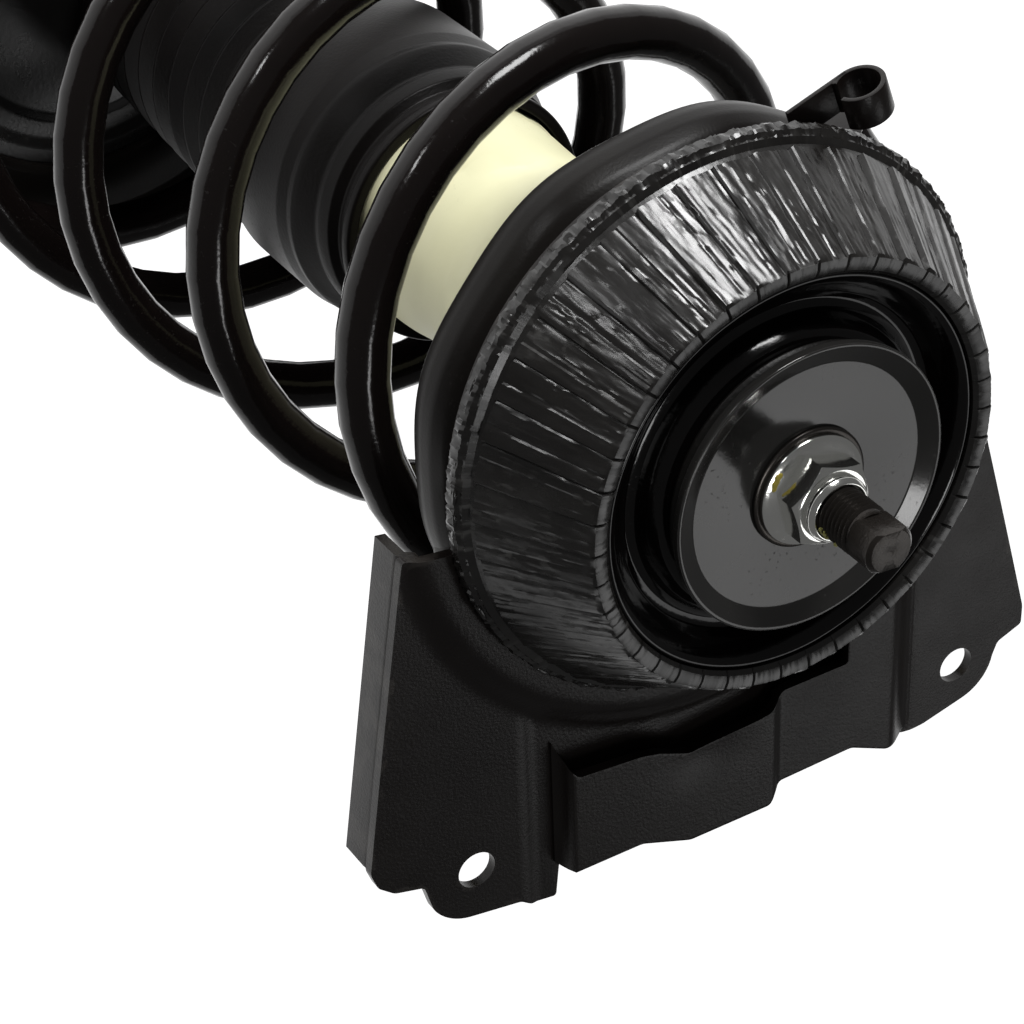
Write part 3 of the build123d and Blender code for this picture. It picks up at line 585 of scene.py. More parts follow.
    @classmethod
    def finish(cls, name: str, shape: bmesh.types.BMesh, finish: Finish, body: str, slot: str,
               replaced: tuple[str, ...] = (), smooth: float = 35.0) -> bpy.types.Object:
        """Bring a shape into the frame as a named piece.

        Args:
            name: Piece name.
            shape: Shape in millimetres, which is freed.
            finish: Surface finish.
            body: Frame body that it rides on.
            slot: Not used.
            replaced: Frame nodes that it stands for.
            smooth: Edges sharper than this many degrees stay sharp.

        Returns:
            The piece.
        """
        bmesh.ops.scale(shape, vec=(MM, MM, MM), verts=list(shape.verts))
        piece = cls.as_object(name, shape)
        for face in piece.data.polygons:
            face.use_smooth = True
        piece.data.set_sharp_from_angle(angle=math.radians(smooth))
        finish.dress(piece)
        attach(piece, body)
        if replaced:
            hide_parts(*replaced)
        log.info("%s: %d faces", name, len(piece.data.polygons))
        return piece


def wander(place: Vector, scale: float, seed: float = 0.0) -> float:
    """Give smooth noise between about -1 and 1 at a place in millimetres."""
    return noise.noise(Vector((place.x * scale + seed, place.y * scale - seed, place.z * scale + 2 * seed)))


def weld_bead(route: Callable[[float], Vector], length: float, width: float, seed: int,
              closed: bool = False) -> bmesh.types.BMesh:
    """Lay a rippled weld bead along a route.

    Args:
        route: Gives the place at a share from 0 to 1.
        length: Length of the route in millimetres.
        width: Width of the bead.
        seed: Seed of its unevenness.
        closed: Whether the route ends where it starts.

    Returns:
        The bead as overlapping flattened drops.
    """
    rng = random.Random(seed)
    shape = bmesh.new()
    count = max(6, int(length / (width * 0.42)))
    for index in range(count):
        share = index / (count if closed else count - 1)
        place = route(share)
        size = width / 2 * rng.uniform(0.86, 1.12)
        turn = Matrix.Rotation(rng.uniform(0, FULL_TURN), 4, "Z")
        spot = Matrix.Translation(place) @ turn @ Matrix.Diagonal((size, size, size * 0.8, 1.0))
        bmesh.ops.create_icosphere(shape, subdivisions=2, radius=1.0, matrix=spot)
    return shape


@dataclass
class TopFastening:
    """Stud, top nut, its seat and the dished washer."""

    thread_pitch: float = 1.25
    thread_depth: float = 0.75
    flats_across: float = 9.0
    flats_length: float = 7.6
    stud_radius: float = 5.95
    tip_radius: float = 5.3
    nut_across: float = 18.0
    hex_top: float = 7.3
    shoulder: float = -33.0

    def __post_init__(self) -> None:
        """Read the levels from the frame."""
        self.tip = span("piston_rod")[1].z
        self.rod_base = span("piston_rod")[0].z
        self.rod_radius = span("piston_rod")[1].x
        self.nut_low, self.nut_high = (corner.z for corner in span("rod_nut"))
        self.flange_radius = span("rod_nut")[1].x

    def build(self) -> None:
        """Make every piece of the fastening."""
        self.stud()
        self.shaft()
        self.nut()
        self.nut_seat()
        self.washer()
        self.paint_mark()
        self.thread_lock()

    def stud(self) -> bpy.types.Object:
        """Make the threaded stud with its wrench flats.

        Returns:
            The stud.
        """
        flats_low = self.tip - self.flats_length
        steps = 40
        start = self.nut_high - 6.0
        turns = int((flats_low - 0.6 - start) / self.thread_pitch)
        crest, root = self.stud_radius, self.stud_radius - self.thread_depth
        pitch = self.thread_pitch
        thread = bmesh.new()
        wave = [(root, 0.0), (root, pitch * 0.12), (crest, pitch * 0.5), (crest, pitch * 0.62), (root, pitch)]
        verts = [thread.verts.new((radius, 0.0, start + height)) for radius, height in wave]
        for first, second in zip(verts, verts[1:]):
            thread.edges.new((first, second))
        bmesh.ops.spin(thread, geom=list(thread.verts) + list(thread.edges), cent=(0, 0, 0), axis=(0, 0, 1),
                       dvec=(0, 0, pitch / steps), angle=FULL_TURN * turns, steps=steps * turns)
        bmesh.ops.remove_doubles(thread, verts=list(thread.verts), dist=1e-3)
        core = self.lathe_core(root, start, flats_low)
        shape = Maker.join(thread, core)
        bmesh.ops.recalc_face_normals(shape, faces=list(shape.faces))
        shape = Maker.join(shape, self.flatted_tip(flats_low))
        return Maker.finish("threaded_stud", shape, THREAD_STEEL, TOP_BODY, "rod_steel", ("piston_rod",))

    def lathe_core(self, root: float, start: float, flats_low: float) -> bmesh.types.BMesh:
        """Make the plain core inside the thread and the neck above it."""
        neck = self.tip_radius
        return Maker.lathe([(0.0, start), (root - 0.02, start), (root - 0.02, flats_low - 1.3),
                            (neck - 0.3, flats_low - 0.8), (neck - 0.3, flats_low + 0.5), (0.0,
                                flats_low + 0.5)],
                           0.0, 64)

    def flatted_tip(self, flats_low: float) -> bmesh.types.BMesh:
        """Make the stud's end with two wrench flats and a chamfer.

        Args:
            flats_low: Height where the flats begin.

        Returns:
            The stud's end.
        """
        radius = self.stud_radius - 0.05
        tip = Maker.lathe([(0.0, flats_low - 0.4), (radius - 0.5, flats_low - 0.4), (radius, flats_low + 0.2),
                           (radius, self.tip - 0.9), (radius - 0.9, self.tip), (0.0, self.tip)], 0.12, 72)
        half = self.flats_across / 2
        turn = Matrix.Rotation(math.radians(-4.4), 4, "Z")
        slab = Maker.block(Vector((-radius - 1, -half, flats_low - 2)),
                           Vector((radius + 1, half, self.tip + 1)))
        bmesh.ops.transform(slab, matrix=turn, verts=list(slab.verts))
        cut = Maker.carve(tip, slab, "INTERSECT")
        return Maker.ease(cut, 0.18, 30.0)

    def shaft(self) -> bpy.types.Object:
        """Make the ground rod below the mount.

        Returns:
            The rod.
        """
        radius = self.rod_radius
        shape = Maker.lathe([(0.0, self.rod_base), (6.0, self.rod_base), (6.0, self.rod_base + 40.0),
                             (radius - 1.0, self.rod_base + 40.0), (radius, self.rod_base + 41.0),
                             (radius, self.shoulder - 1.0), (radius - 1.0, self.shoulder), (0.0,
                                 self.shoulder)],
                            0.2, 96)
        return Maker.finish("ground_rod", shape, CHROMED_ROD, TOP_BODY, "rod_steel")

    def nut(self) -> bpy.types.Object:
        """Make the flange nut: chamfered hexagon, sloping flange and locking collar.

        Returns:
            The nut.
        """
        low, high = self.nut_low, self.nut_high
        half = self.nut_across / 2
        corner = half / math.cos(math.pi / 6)
        hexagon = bmesh.new()
        bmesh.ops.create_cone(hexagon, cap_ends=True, segments=6, radius1=corner, radius2=corner,
                              depth=self.hex_top - low)
        bmesh.ops.translate(hexagon, vec=(0, 0, (low + self.hex_top) / 2), verts=list(hexagon.verts))
        bmesh.ops.rotate(hexagon, cent=(0, 0, 0), matrix=Matrix.Rotation(math.radians(14.0), 3, "Z"),
                         verts=list(hexagon.verts))
        crown = Maker.lathe([(0.0, low - 1), (corner + 1, low - 1), (corner + 1, self.hex_top - 1.4),
                             (corner + 0.1, self.hex_top - 1.1), (half - 0.4, self.hex_top),
                             (0.0, self.hex_top)], 0.25, 96)
        hexagon = Maker.ease(Maker.carve(hexagon, crown, "INTERSECT"), 0.22, 24.0)
        flange = Maker.lathe([(5.9, low), (self.flange_radius, low), (self.flange_radius, low + 1.1),
                              (self.flange_radius - 1.2, low + 1.5), (half + 1.2, low + 1.9),
                              (half - 0.6, low + 2.3), (5.9, low + 2.3)], 0.25, 128)
        collar = Maker.lathe([(6.15, self.hex_top - 2), (7.7, self.hex_top - 2), (7.7, high - 1.2),
                              (7.0, high - 0.2), (6.6, high), (6.15, high - 0.3)], 0.3, 96)
        shape = Maker.join(Maker.join(hexagon, flange), collar)
        return Maker.finish("flange_nut", shape, ZINC, TOP_BODY, "zinc", ("rod_nut",))

    def nut_seat(self) -> bpy.types.Object:
        """Make the dark seat ring under the nut."""
        low, high = span("nut_seat")
        outer = high.x
        shape = Maker.lathe([(6.0, low.z), (outer, low.z), (outer, high.z - 0.2), (outer - 0.5, high.z),
                             (6.0, high.z)], 0.2, 128)
        return Maker.finish("nut_seat_ring", shape, SEAT_STEEL, TOP_BODY, "dark_steel", ("nut_seat",))

    def washer(self) -> bpy.types.Object:
        """Make the dished washer with its raised, bevelled rim.

        Returns:
            The washer.
        """
        low, high = span("mount_washer")
        outer = high.x
        dish = -1.9
        shape = Maker.lathe([(6.0, dish), (outer - 4.9, dish), (outer - 0.8, high.z), (outer, high.z),
                             (outer, -2.2), (outer - 3.7, low.z), (6.0, low.z)], 0.35, 192, 4)
        return Maker.finish("dished_washer", shape, WASHER_COAT, TOP_BODY, "washer_coat", ("mount_washer",))

    def paint_mark(self) -> bpy.types.Object:
        """Make the inspection dab of paint on the nut's flange.

        Returns:
            The dab.
        """
        rng = random.Random(11)
        shape = bmesh.new()
        for index in range(7):
            angle = math.radians(141.0 + index * 2.6)
            reach = 11.5 + rng.uniform(-0.5, 0.3)
            spot = Matrix.Translation((reach * math.cos(angle), reach * math.sin(angle), self.nut_low + 1.45))
            size = rng.uniform(0.7, 1.0)
            bmesh.ops.create_icosphere(shape, subdivisions=3, radius=1.0,
                                       matrix=spot @ Matrix.Diagonal((size, size, 0.30, 1.0)))
        return Maker.finish("inspection_dab", Maker.melt(shape, 0.16), PAINT_MARK, TOP_BODY, "zinc")

    def thread_lock(self) -> bpy.types.Object:
        """Make the crumbs of thread-locking compound squeezed out above the nut.

        Returns:
            The crumbs.
        """
        rng = random.Random(5)
        shape = bmesh.new()
        for _ in range(26):
            angle = math.radians(rng.uniform(196.0, 286.0))
            height = self.nut_high + rng.uniform(0.1, 7.5) * rng.random()
            size = rng.uniform(0.22, 0.62)
            reach = self.stud_radius - 0.1
            spot = Matrix.Translation((reach * math.cos(angle), reach * math.sin(angle), height))
            bmesh.ops.create_icosphere(shape, subdivisions=2, radius=1.0,
                                       matrix=spot @ Matrix.Diagonal((size, size, size * 0.7, 1.0)))
        return Maker.finish("thread_lock_crumbs", shape, THREAD_LOCK, TOP_BODY, "rod_steel")


@dataclass
class RubberMount:
    """Cup, cushion and ribbed cone of the upper mount."""

    rib_count: int = 42
    rib_depth: float = 1.5
    steps_per_rib: int = 20
    ridge: float = 0.5
    crest_z: float = -5.2
    crest_outer: float = 52.0
    flank_foot: float = 66.2
    flank_foot_z: float = -31.2
    rib_end: float = 0.945
    ledge: float = 0.9
    cup_wall: float = 2.0

    def build(self) -> None:
        """Make every piece of the mount."""
        self.cup()
        self.cushion()
        self.cone()
        self.flash()

    def cup(self) -> bpy.types.Object:
        """Make the glossy cup: flat middle, deep trough and rolled crest.

        Returns:
            The cup.
        """
        low, high = span("mount_cup")
        crest = high.x
        top, trough = high.z, low.z + self.cup_wall
        wall = self.cup_wall
        flat = -6.5
        profile = [(24.0, flat), (31.0, flat), (33.6, flat - 0.9), (35.3, trough + 3.4), (36.4, trough + 0.9),
                   (38.2, trough), (40.2, trough + 0.5), (42.0, trough + 2.4), (43.8, trough + 4.9),
                   (45.2, top - 0.7), (46.4, top), (crest, top - 0.4), (crest, top - wall),
                   (44.9, trough + 2.2), (42.2, trough - 1.2), (38.2, trough - wall),
                   (34.4, trough - 1.0), (32.6, flat - 2.6), (30.0, flat - wall), (24.0, flat - wall)]
        shape = Maker.lathe(profile, 0.7, 192, 3)
        for vert in shape.verts:
            vert.co.z += 0.16 * wander(vert.co, 0.07, 3.0)
        return Maker.finish("mount_cup_pressing", shape, CUP_COAT, TOP_BODY, "cup_coat", ("mount_cup",), 60.0)

    def cushion(self) -> bpy.types.Object:
        """Make the rubber cushion between washer and cup."""
        low, high = span("top_cushion")
        outer = high.x
        shape = Maker.lathe([(9.6, low.z), (outer - 0.3, low.z), (outer + 0.6, (low.z + high.z) / 2),
                             (outer - 0.3, high.z), (9.6, high.z)], 0.3, 160)
        return Maker.finish("washer_cushion", shape, DARK_RUBBER, TOP_BODY, "rubber", ("top_cushion",))

    def cone(self) -> bpy.types.Object:
        """Make the ribbed rubber cone: saw-tooth flank, notched front rim, ledge and foot lip.

        Returns:
            The cone.
        """
        low, high = span("ribbed_cone")
        lip = high.x
        bore, foot = 44.0, low.z
        inner_crest = 47.25
        flank = []
        rings = 26
        for index in range(rings + 1):
            share = self.rib_end * index / rings
            flank.append(self.flank_place(share))
        end_radius, end_z = self.flank_place(self.rib_end)
        band = [(end_radius - self.ledge, end_z - 0.35), (end_radius - 0.3, end_z - 1.4),
                (self.flank_foot + 0.5, self.flank_foot_z - 0.6), (lip - 1.2, -32.3)]
        rim = [(lip - 0.3, -32.9), (lip, -33.8), (lip, -34.8), (lip, foot + 0.6), (lip - 1.2, foot)]
        profile = [(inner_crest, -8.6), (inner_crest, -6.0), (inner_crest + 0.9, -5.1),
                   (self.crest_outer - 2.4, -4.7), (self.crest_outer - 0.8, -4.75), *flank, *band, *rim,
                   (bore, foot), (bore, -16.0), (42.5, -14.9)]
        shape = Maker.lathe(profile, 0.0, self.rib_count * self.steps_per_rib)
        rng = random.Random(21)
        heights = [rng.uniform(-0.3, 0.3) for _ in range(self.rib_count)]
        folds = [rng.uniform(0.35, 0.7) if rng.random() < 0.7 else -1.0 for _ in range(self.rib_count)]
        for vert in shape.verts:
            self.press_rib(vert, heights, folds)
        return Maker.finish("ribbed_cone_moulding", shape, CONE_RUBBER, TOP_BODY, "cone_rubber",
                            ("ribbed_cone",), 22.0)

    def flank_place(self, share: float) -> tuple[float, float]:
        """Give the flank's radius and height at a share of the way down."""
        return (self.crest_outer + (self.flank_foot - self.crest_outer) * share,
                self.crest_z + (self.flank_foot_z - self.crest_z) * share)

    def press_rib(self, vert: bmesh.types.BMVert, heights: list[float], folds: list[float]) -> None:
        """Move one vertex so that the flank is ribbed, the rim notched and the foot ragged.

        Args:
            vert: The vertex.
            heights: Extra height of each rib.
            folds: Where each rib has its shallow second crease, or -1 for none.
        """
        place = vert.co
        radius = math.hypot(place.x, place.y)
        angle = math.atan2(place.y, place.x) % FULL_TURN
        turn = angle / FULL_TURN * self.rib_count + 0.0001
        rib = int(turn) % self.rib_count
        share = turn - int(turn)
        drop = (self.crest_z - place.z) / (self.crest_z - self.flank_foot_z)
        line = self.flank_place(min(max(drop, 0.0), 1.0))[0]
        step = 1.0 / self.steps_per_rib
        offset, sink = 0.0, 0.0
        if abs(radius - line) < 0.3 and -0.001 <= drop <= self.rib_end + 0.001:
            offset = self.rib_depth * (0.55 * share - 0.55) + heights[rib] * share
            if share < step * 0.5:
                offset += self.ridge
            elif share < step * 1.5:
                offset -= 0.22
            if folds[rib] > 0 and abs(share - folds[rib]) < step:
                offset -= 0.20
            lumps = noise.noise(Vector((angle * 95.0, place.z * 0.10, 3.0)))
            lumps += 0.6 * noise.noise(Vector((angle * 190.0, place.z * 0.45, 8.0)))
            offset += 0.16 * lumps
        elif place.z > self.crest_z - 0.2 and radius > 47.5:
            sink = 0.45 if share < step * 0.5 else 0.10 * noise.noise(Vector((angle * 60.0, radius, 1.0)))
        elif radius > 65.5 and place.z < -32.0:
            crumbs = noise.noise(Vector((angle * 34.0, place.z * 0.5, 5.0)))
            crumbs += 0.7 * noise.noise(Vector((angle * 110.0, place.z, 2.0)))
            offset = 0.6 * crumbs - 0.4
        scale = (radius + offset) / radius
        place.x *= scale
        place.y *= scale
        place.z -= sink

    def flash(self) -> bpy.types.Object:
        """Make the ragged rubber flash along the cone's foot.

        Returns:
            The flash.
        """
        rng = random.Random(8)
        shape = bmesh.new()
        for _ in range(130):
            angle = math.radians(rng.gauss(205.0, 26.0) if rng.random() < 0.45 else rng.uniform(0.0, 360.0))
            reach = 66.4 + rng.uniform(-1.4, 1.6)
            size = rng.uniform(0.4, 1.15)
            spot = Matrix.Translation((reach * math.cos(angle), reach * math.sin(angle),
                                       -33.0 + rng.uniform(-1.6, 0.3)))
            turn = Matrix.Rotation(angle, 4, "Z")
            bmesh.ops.create_icosphere(shape, subdivisions=2, radius=1.0,
                                       matrix=spot @ turn @ Matrix.Diagonal((0.7 * size, 2.2 * size,
                                           0.5 * size, 1)))
        for vert in shape.verts:
            vert.co += Vector((1, 1, 1)) * 0.15 * wander(vert.co, 0.9, 6.0)
            radius = math.hypot(vert.co.x, vert.co.y)
            if radius > 68.4:
                vert.co.x *= 68.4 / radius
                vert.co.y *= 68.4 / radius
        return Maker.finish("cone_flash", shape, CONE_RUBBER, TOP_BODY, "cone_rubber", (), 50.0)


@dataclass
class UpperBracket:
    """Stamped plate with its dome, the raised bridge sheet and the curled clip."""

    plate: float = 2.6
    dome_foot: float = 80.0
    dome_run: float = 6.0
    left_hole: float = -64.0
    right_hole: float = 74.5
    hole_line: float = -102.2
    hole_radius: float = 4.8
    left_tab: float = 13.4
    right_tab: float = 11.8
    left: float = -91.0
    right: float = 94.8
    left_end: tuple[float, float] = (-78.0, -10.0)
    right_end: tuple[float, float] = (78.0, -30.0)
    flange_drop: float = 9.0
    panel_left: float = -50.5
    panel_sink: float = 0.7
    bridge_left: float = -43.0
    bridge_left_web: float = 2.4
    bridge_right: float = 60.0
    bridge_right_web: float = 9.5
    bridge_inner: float = -83.0
    bridge_edge: float = -110.4
    bridge_bay: float = 5.2
    joggle: float = 16.5
    joggle_sink: float = 0.9
    slot_end: float = 37.3
    skirt_gap: float = 2.0

    def __post_init__(self) -> None:
        """Read the levels from the frame."""
        self.face = span("dome_ring")[0].z
        self.crown = span("dome_ring")[1].z
        self.rise = span("bracket_bridge")[1].z - self.face

    def build(self) -> None:
        """Make every piece of the bracket."""
        self.sheet()
        self.bridge()
        self.clip()

    @staticmethod
    def soft(share: float) -> float:
        """Give a soft step from 0 to 1 as a share passes from 0 to 1."""
        share = min(max(share, 0.0), 1.0)
        return share * share * (3 - 2 * share)

    def arc(self, middle: float, radius: float, start: float, end: float) -> list[tuple[float, float]]:
        """Give points on a bolt tab's round end."""
        count = 8
        turns = [math.radians(start + (end - start) * index / count) for index in range(count + 1)]
        return [(middle + radius * math.cos(turn),
                 self.hole_line + radius * math.sin(turn)) for turn in turns]

    def outline(self) -> list[tuple[float, float]]:
        """Give the plate's plan corners, bolt tabs included.

        Returns:
            The corners in order.
        """
        foot = self.bridge_edge - self.bridge_bay
        points = [self.left_end, (self.left, -91.0), (self.left + 1.6, -95.6), (self.left + 5.6, -99.0),
                  (self.left + 13.2, -101.0)]
        points += self.arc(self.left_hole, self.left_tab, 208.0, 264.0)
        points += [(self.panel_left - 2.0, foot - 2.0), (self.panel_left + 1.0, foot - 4.4),
                   (self.bridge_left + 0.4, foot - 5.4), (self.bridge_left + 1.6, self.bridge_edge),
                   (self.bridge_right - 10.0, self.bridge_edge), (self.bridge_right - 2.0, foot - 1.0),
                   (self.bridge_right + 1.4, foot - 1.2), (self.bridge_right + 5.0, foot - 1.0)]
        points += self.arc(self.right_hole, self.right_tab, 282.0, 352.0)
        points += [(self.right - 7.2, -100.4), (self.right, -97.6), (self.right, -92.0), self.right_end]
        return points

    def plate_height(self, place: Vector) -> float:
        """Give the plate's height above its flat wings at a place."""
        radius = math.hypot(place.x, place.y)
        dome = (self.crown - self.face) * self.soft((self.dome_foot - radius) / self.dome_run)
        sunk = self.soft((place.x - self.panel_left) / 2.2) * self.soft((self.bridge_right + 2 - place.x) / 8.0)
        sunk *= self.soft((radius - self.dome_foot + 1.5) / 2.0) * self.soft((-52.0 - place.y) / 4.0)
        wave = 0.22 * math.sin(place.x * 0.05) * math.sin(place.y * 0.04 + 1.0)
        return dome - self.panel_sink * sunk + wave

    def bridge_height(self, place: Vector) -> float:
        """Give the raised sheet's height above the plate's wings at a place."""
        left = self.soft((place.x - self.bridge_left) / self.bridge_left_web)
        right = self.soft((self.bridge_right - place.x) / self.bridge_right_web)
        joggle = self.joggle_sink * self.soft((place.x - self.joggle + 1.2) / 2.4)
        dent = 0.5 * math.exp(-((place.x + 4.0) / 9.0) ** 2 - ((place.y + 92.0) / 6.0) ** 2)
        return self.rise * left * right - joggle * right - dent

    def pressing(self, outline: list[tuple[float, float]], height: Callable[[Vector], float], cell: float,
                 corner: float) -> bmesh.types.BMesh:
        """Press a sheet: a grid laid over a height, thickened and trimmed to an outline.

        Args:
            outline: Plan corners.
            height: Gives the sheet's height above the wings.
            cell: Grid cell.
            corner: Rounding of the outline's corners.

        Returns:
            The trimmed sheet.
        """
        low = Vector((min(x for x, _ in outline) - 2, min(y for _, y in outline) - 2))
        high = Vector((max(x for x, _ in outline) + 2, max(y for _, y in outline) + 2))
        size = high - low
        grid = bmesh.new()
        bmesh.ops.create_grid(grid, x_segments=int(size.x / cell), y_segments=int(size.y / cell), size=0.5)
        bmesh.ops.scale(grid, vec=(size.x, size.y, 1.0), verts=list(grid.verts))
        bmesh.ops.translate(grid, vec=(*((low + high) / 2), 0.0), verts=list(grid.verts))
        for vert in grid.verts:
            vert.co.z = self.face + height(vert.co)
        walls = bmesh.ops.extrude_face_region(grid, geom=list(grid.faces))
        bmesh.ops.translate(grid, vec=(0, 0, -self.plate),
                            verts=[item for item in walls["geom"] if isinstance(item, bmesh.types.BMVert)])
        bmesh.ops.recalc_face_normals(grid, faces=list(grid.faces))
        return Maker.carve(grid, Maker.prism(outline, self.face - 14, self.face + 14, corner), "INTERSECT")

    def sheet(self) -> bpy.types.Object:
        """Make the plate, its dome and its two bent side flanges as one pressing.

        Returns:
            The pressing.
        """
        ring = [(66.0 * math.cos(FULL_TURN * k / 120),
                 66.0 * math.sin(FULL_TURN * k / 120)) for k in range(120)]
        plan = Maker.carve(Maker.prism(self.outline(), self.face - 12, self.face + 12, 1.6),
                           Maker.prism(ring, self.face - 12, self.face + 12), "UNION")
        corner = Vector((110.0, 125.0))
        shape = self.pressing([(-corner.x, -corner.y), (corner.x, -corner.y), (corner.x, 70.0),
                               (-corner.x, 70.0)], self.plate_height, 1.6, 0.0)
        shape = Maker.carve(shape, plan, "INTERSECT")
        for hole in (self.left_hole, self.right_hole):
            drill = Maker.post(self.hole_radius, self.face - 15, self.face + 15, (hole, self.hole_line))
            shape = Maker.carve(shape, drill, "DIFFERENCE")
        bore = Maker.post(36.0, self.face - 15, self.face + 15, (0, 0), 128)
        shape = Maker.carve(shape, bore, "DIFFERENCE")
        for top, foot, side in ((self.left_end, (self.left, -90.5), 1),
                                (self.right_end, (self.right, -91.5), -1)):
            flange = self.side_flange(Vector(top), Vector(foot), side)
            shape = Maker.carve(shape, flange, "UNION")
        shape = Maker.ease(shape, 0.45, 48.0)
        return Maker.finish("bracket_pressing", shape, BRACKET_COAT, TOP_BODY, "bracket_coat",
                            ("upper_bracket", "dome_ring"), 46.0)

    def side_flange(self, top: Vector, foot: Vector, side: int) -> bmesh.types.BMesh:
        """Make one side flange: a strip bent down along the plate's edge.

        Args:
            top: Plan place of the flange's inner end.
            foot: Plan place of its outer end.
            side: 1 where the plate lies to the left of the edge seen from top to foot, else -1.

        Returns:
            The flange.
        """
        run = foot - top
        base = self.face - self.plate
        bend = 3.4
        outer = [(0.0, -self.flange_drop), (self.plate, -self.flange_drop), (self.plate, -0.8),
                 (bend + 1.2, 0.2),
                 (bend + 1.2, self.plate - 0.2)]
        for index in range(7):
            turn = math.radians(90.0 * index / 6)
            outer.append((bend - bend * math.sin(turn), self.plate - 0.25 - bend + bend * math.cos(turn)))
        strip = bmesh.new()
        strip.faces.new([strip.verts.new((0.0, side * across, base + rise)) for across, rise in outer])
        far = bmesh.ops.extrude_face_region(strip, geom=list(strip.faces))
        bmesh.ops.translate(strip, vec=(run.length, 0, 0),
                            verts=[item for item in far["geom"] if isinstance(item, bmesh.types.BMVert)])
        bmesh.ops.recalc_face_normals(strip, faces=list(strip.faces))
        bmesh.ops.rotate(strip, cent=(0, 0, 0), matrix=Matrix.Rotation(math.atan2(run.y, run.x), 3, "Z"),
                         verts=list(strip.verts))
        bmesh.ops.translate(strip, vec=(top.x, top.y, 0.0), verts=list(strip.verts))
        return strip

    def bridge(self) -> bpy.types.Object:
        """Make the raised sheet with its wavy edges, steep left end and gently sloping right end.

        Returns:
            The bridge.
        """
        left, right = self.bridge_left - 0.2, self.bridge_right + 0.4
        near, far = self.bridge_edge, self.bridge_edge - self.bridge_bay
        inner = self.bridge_inner
        skirt = self.dome_foot + self.skirt_gap
        ins = self.joggle - 2.0
        out = self.joggle + 1.2
        rights = [(x, -math.sqrt(skirt ** 2 - x ** 2)) for x in (right, 55.0, 50.0, 45.0, 41.0,
            self.slot_end)]
        outline = [(left, near), (left + 21.0, near), (left + 34.6, far), (ins, far), (out, near + 0.2),
                   (39.2, near + 0.8), (50.0, far + 0.8), (57.0, far + 0.6), (right, far + 1.4), *rights,
                   (self.slot_end, inner), (out + 0.6, inner), (ins, inner - 4.4), (ins - 3.0, inner - 4.9),
                   (left + 34.6, inner - 6.4), (left + 25.8, inner - 2.4), (left + 21.0, inner - 1.2),
                   (left + 4.0, inner + 0.4), (left + 2.2, inner + 2.6), (left, inner + 9.0)]
        shape = self.pressing(outline, self.bridge_height, 0.9, 0.9)
        shape = Maker.ease(shape, 0.4, 50.0)
        return Maker.finish("bracket_bridge_sheet", shape, BRACKET_COAT, TOP_BODY, "bracket_coat",
                            ("bracket_bridge",), 46.0)

    def clip(self) -> bpy.types.Object:
        """Make the clip: a strip rolled into an open loop beside the plate's far edge.

        Returns:
            The clip.
        """
        low, high = span("curled_clip")
        radius, strip, width, tail = (high.z - low.z) / 2, 1.2, 8.0, 15.5
        shape = bmesh.new()
        corners = [(-radius, -width / 2), (-radius, width / 2), (strip - radius, width / 2),
                   (strip - radius, -width / 2)]
        start = [shape.verts.new((0.0, along, reach)) for reach, along in corners]
        edges = [shape.edges.new((start[k], start[(k + 1) % 4])) for k in range(4)]
        bmesh.ops.rotate(shape, cent=(0, 0, 0), matrix=Matrix.Rotation(math.radians(38.0), 3, "Y"),
                         verts=start)
        bmesh.ops.spin(shape, geom=start + edges, cent=(0, 0, 0), axis=(0, -1, 0), dvec=(0, 0, 0),
                       angle=math.radians(296.0), steps=56)
        bmesh.ops.holes_fill(shape, edges=[edge for edge in shape.edges if edge.is_boundary], sides=4)
        foot = Maker.block(Vector((-tail, -width / 2, -radius)), Vector((0.8, width / 2, strip - radius)))
        shape = Maker.join(shape, foot)
        bmesh.ops.recalc_face_normals(shape, faces=list(shape.faces))
        Maker.ease(shape, 0.22, 50.0)
        bmesh.ops.rotate(shape, cent=(0, 0, 0), matrix=Matrix.Rotation(math.radians(-41.0), 3, "Z"),
                         verts=list(shape.verts))
        bmesh.ops.translate(shape, vec=(75.6, 0.0, low.z + radius), verts=list(shape.verts))
        bmesh.ops.rotate(shape, cent=(0, 0, 0), matrix=Matrix.Rotation(math.radians(60.0), 3, "Z"),
                         verts=list(shape.verts))
        return Maker.finish("curled_clip_strip", shape, BRACKET_COAT, TOP_BODY, "bracket_coat",
                            ("curled_clip",))


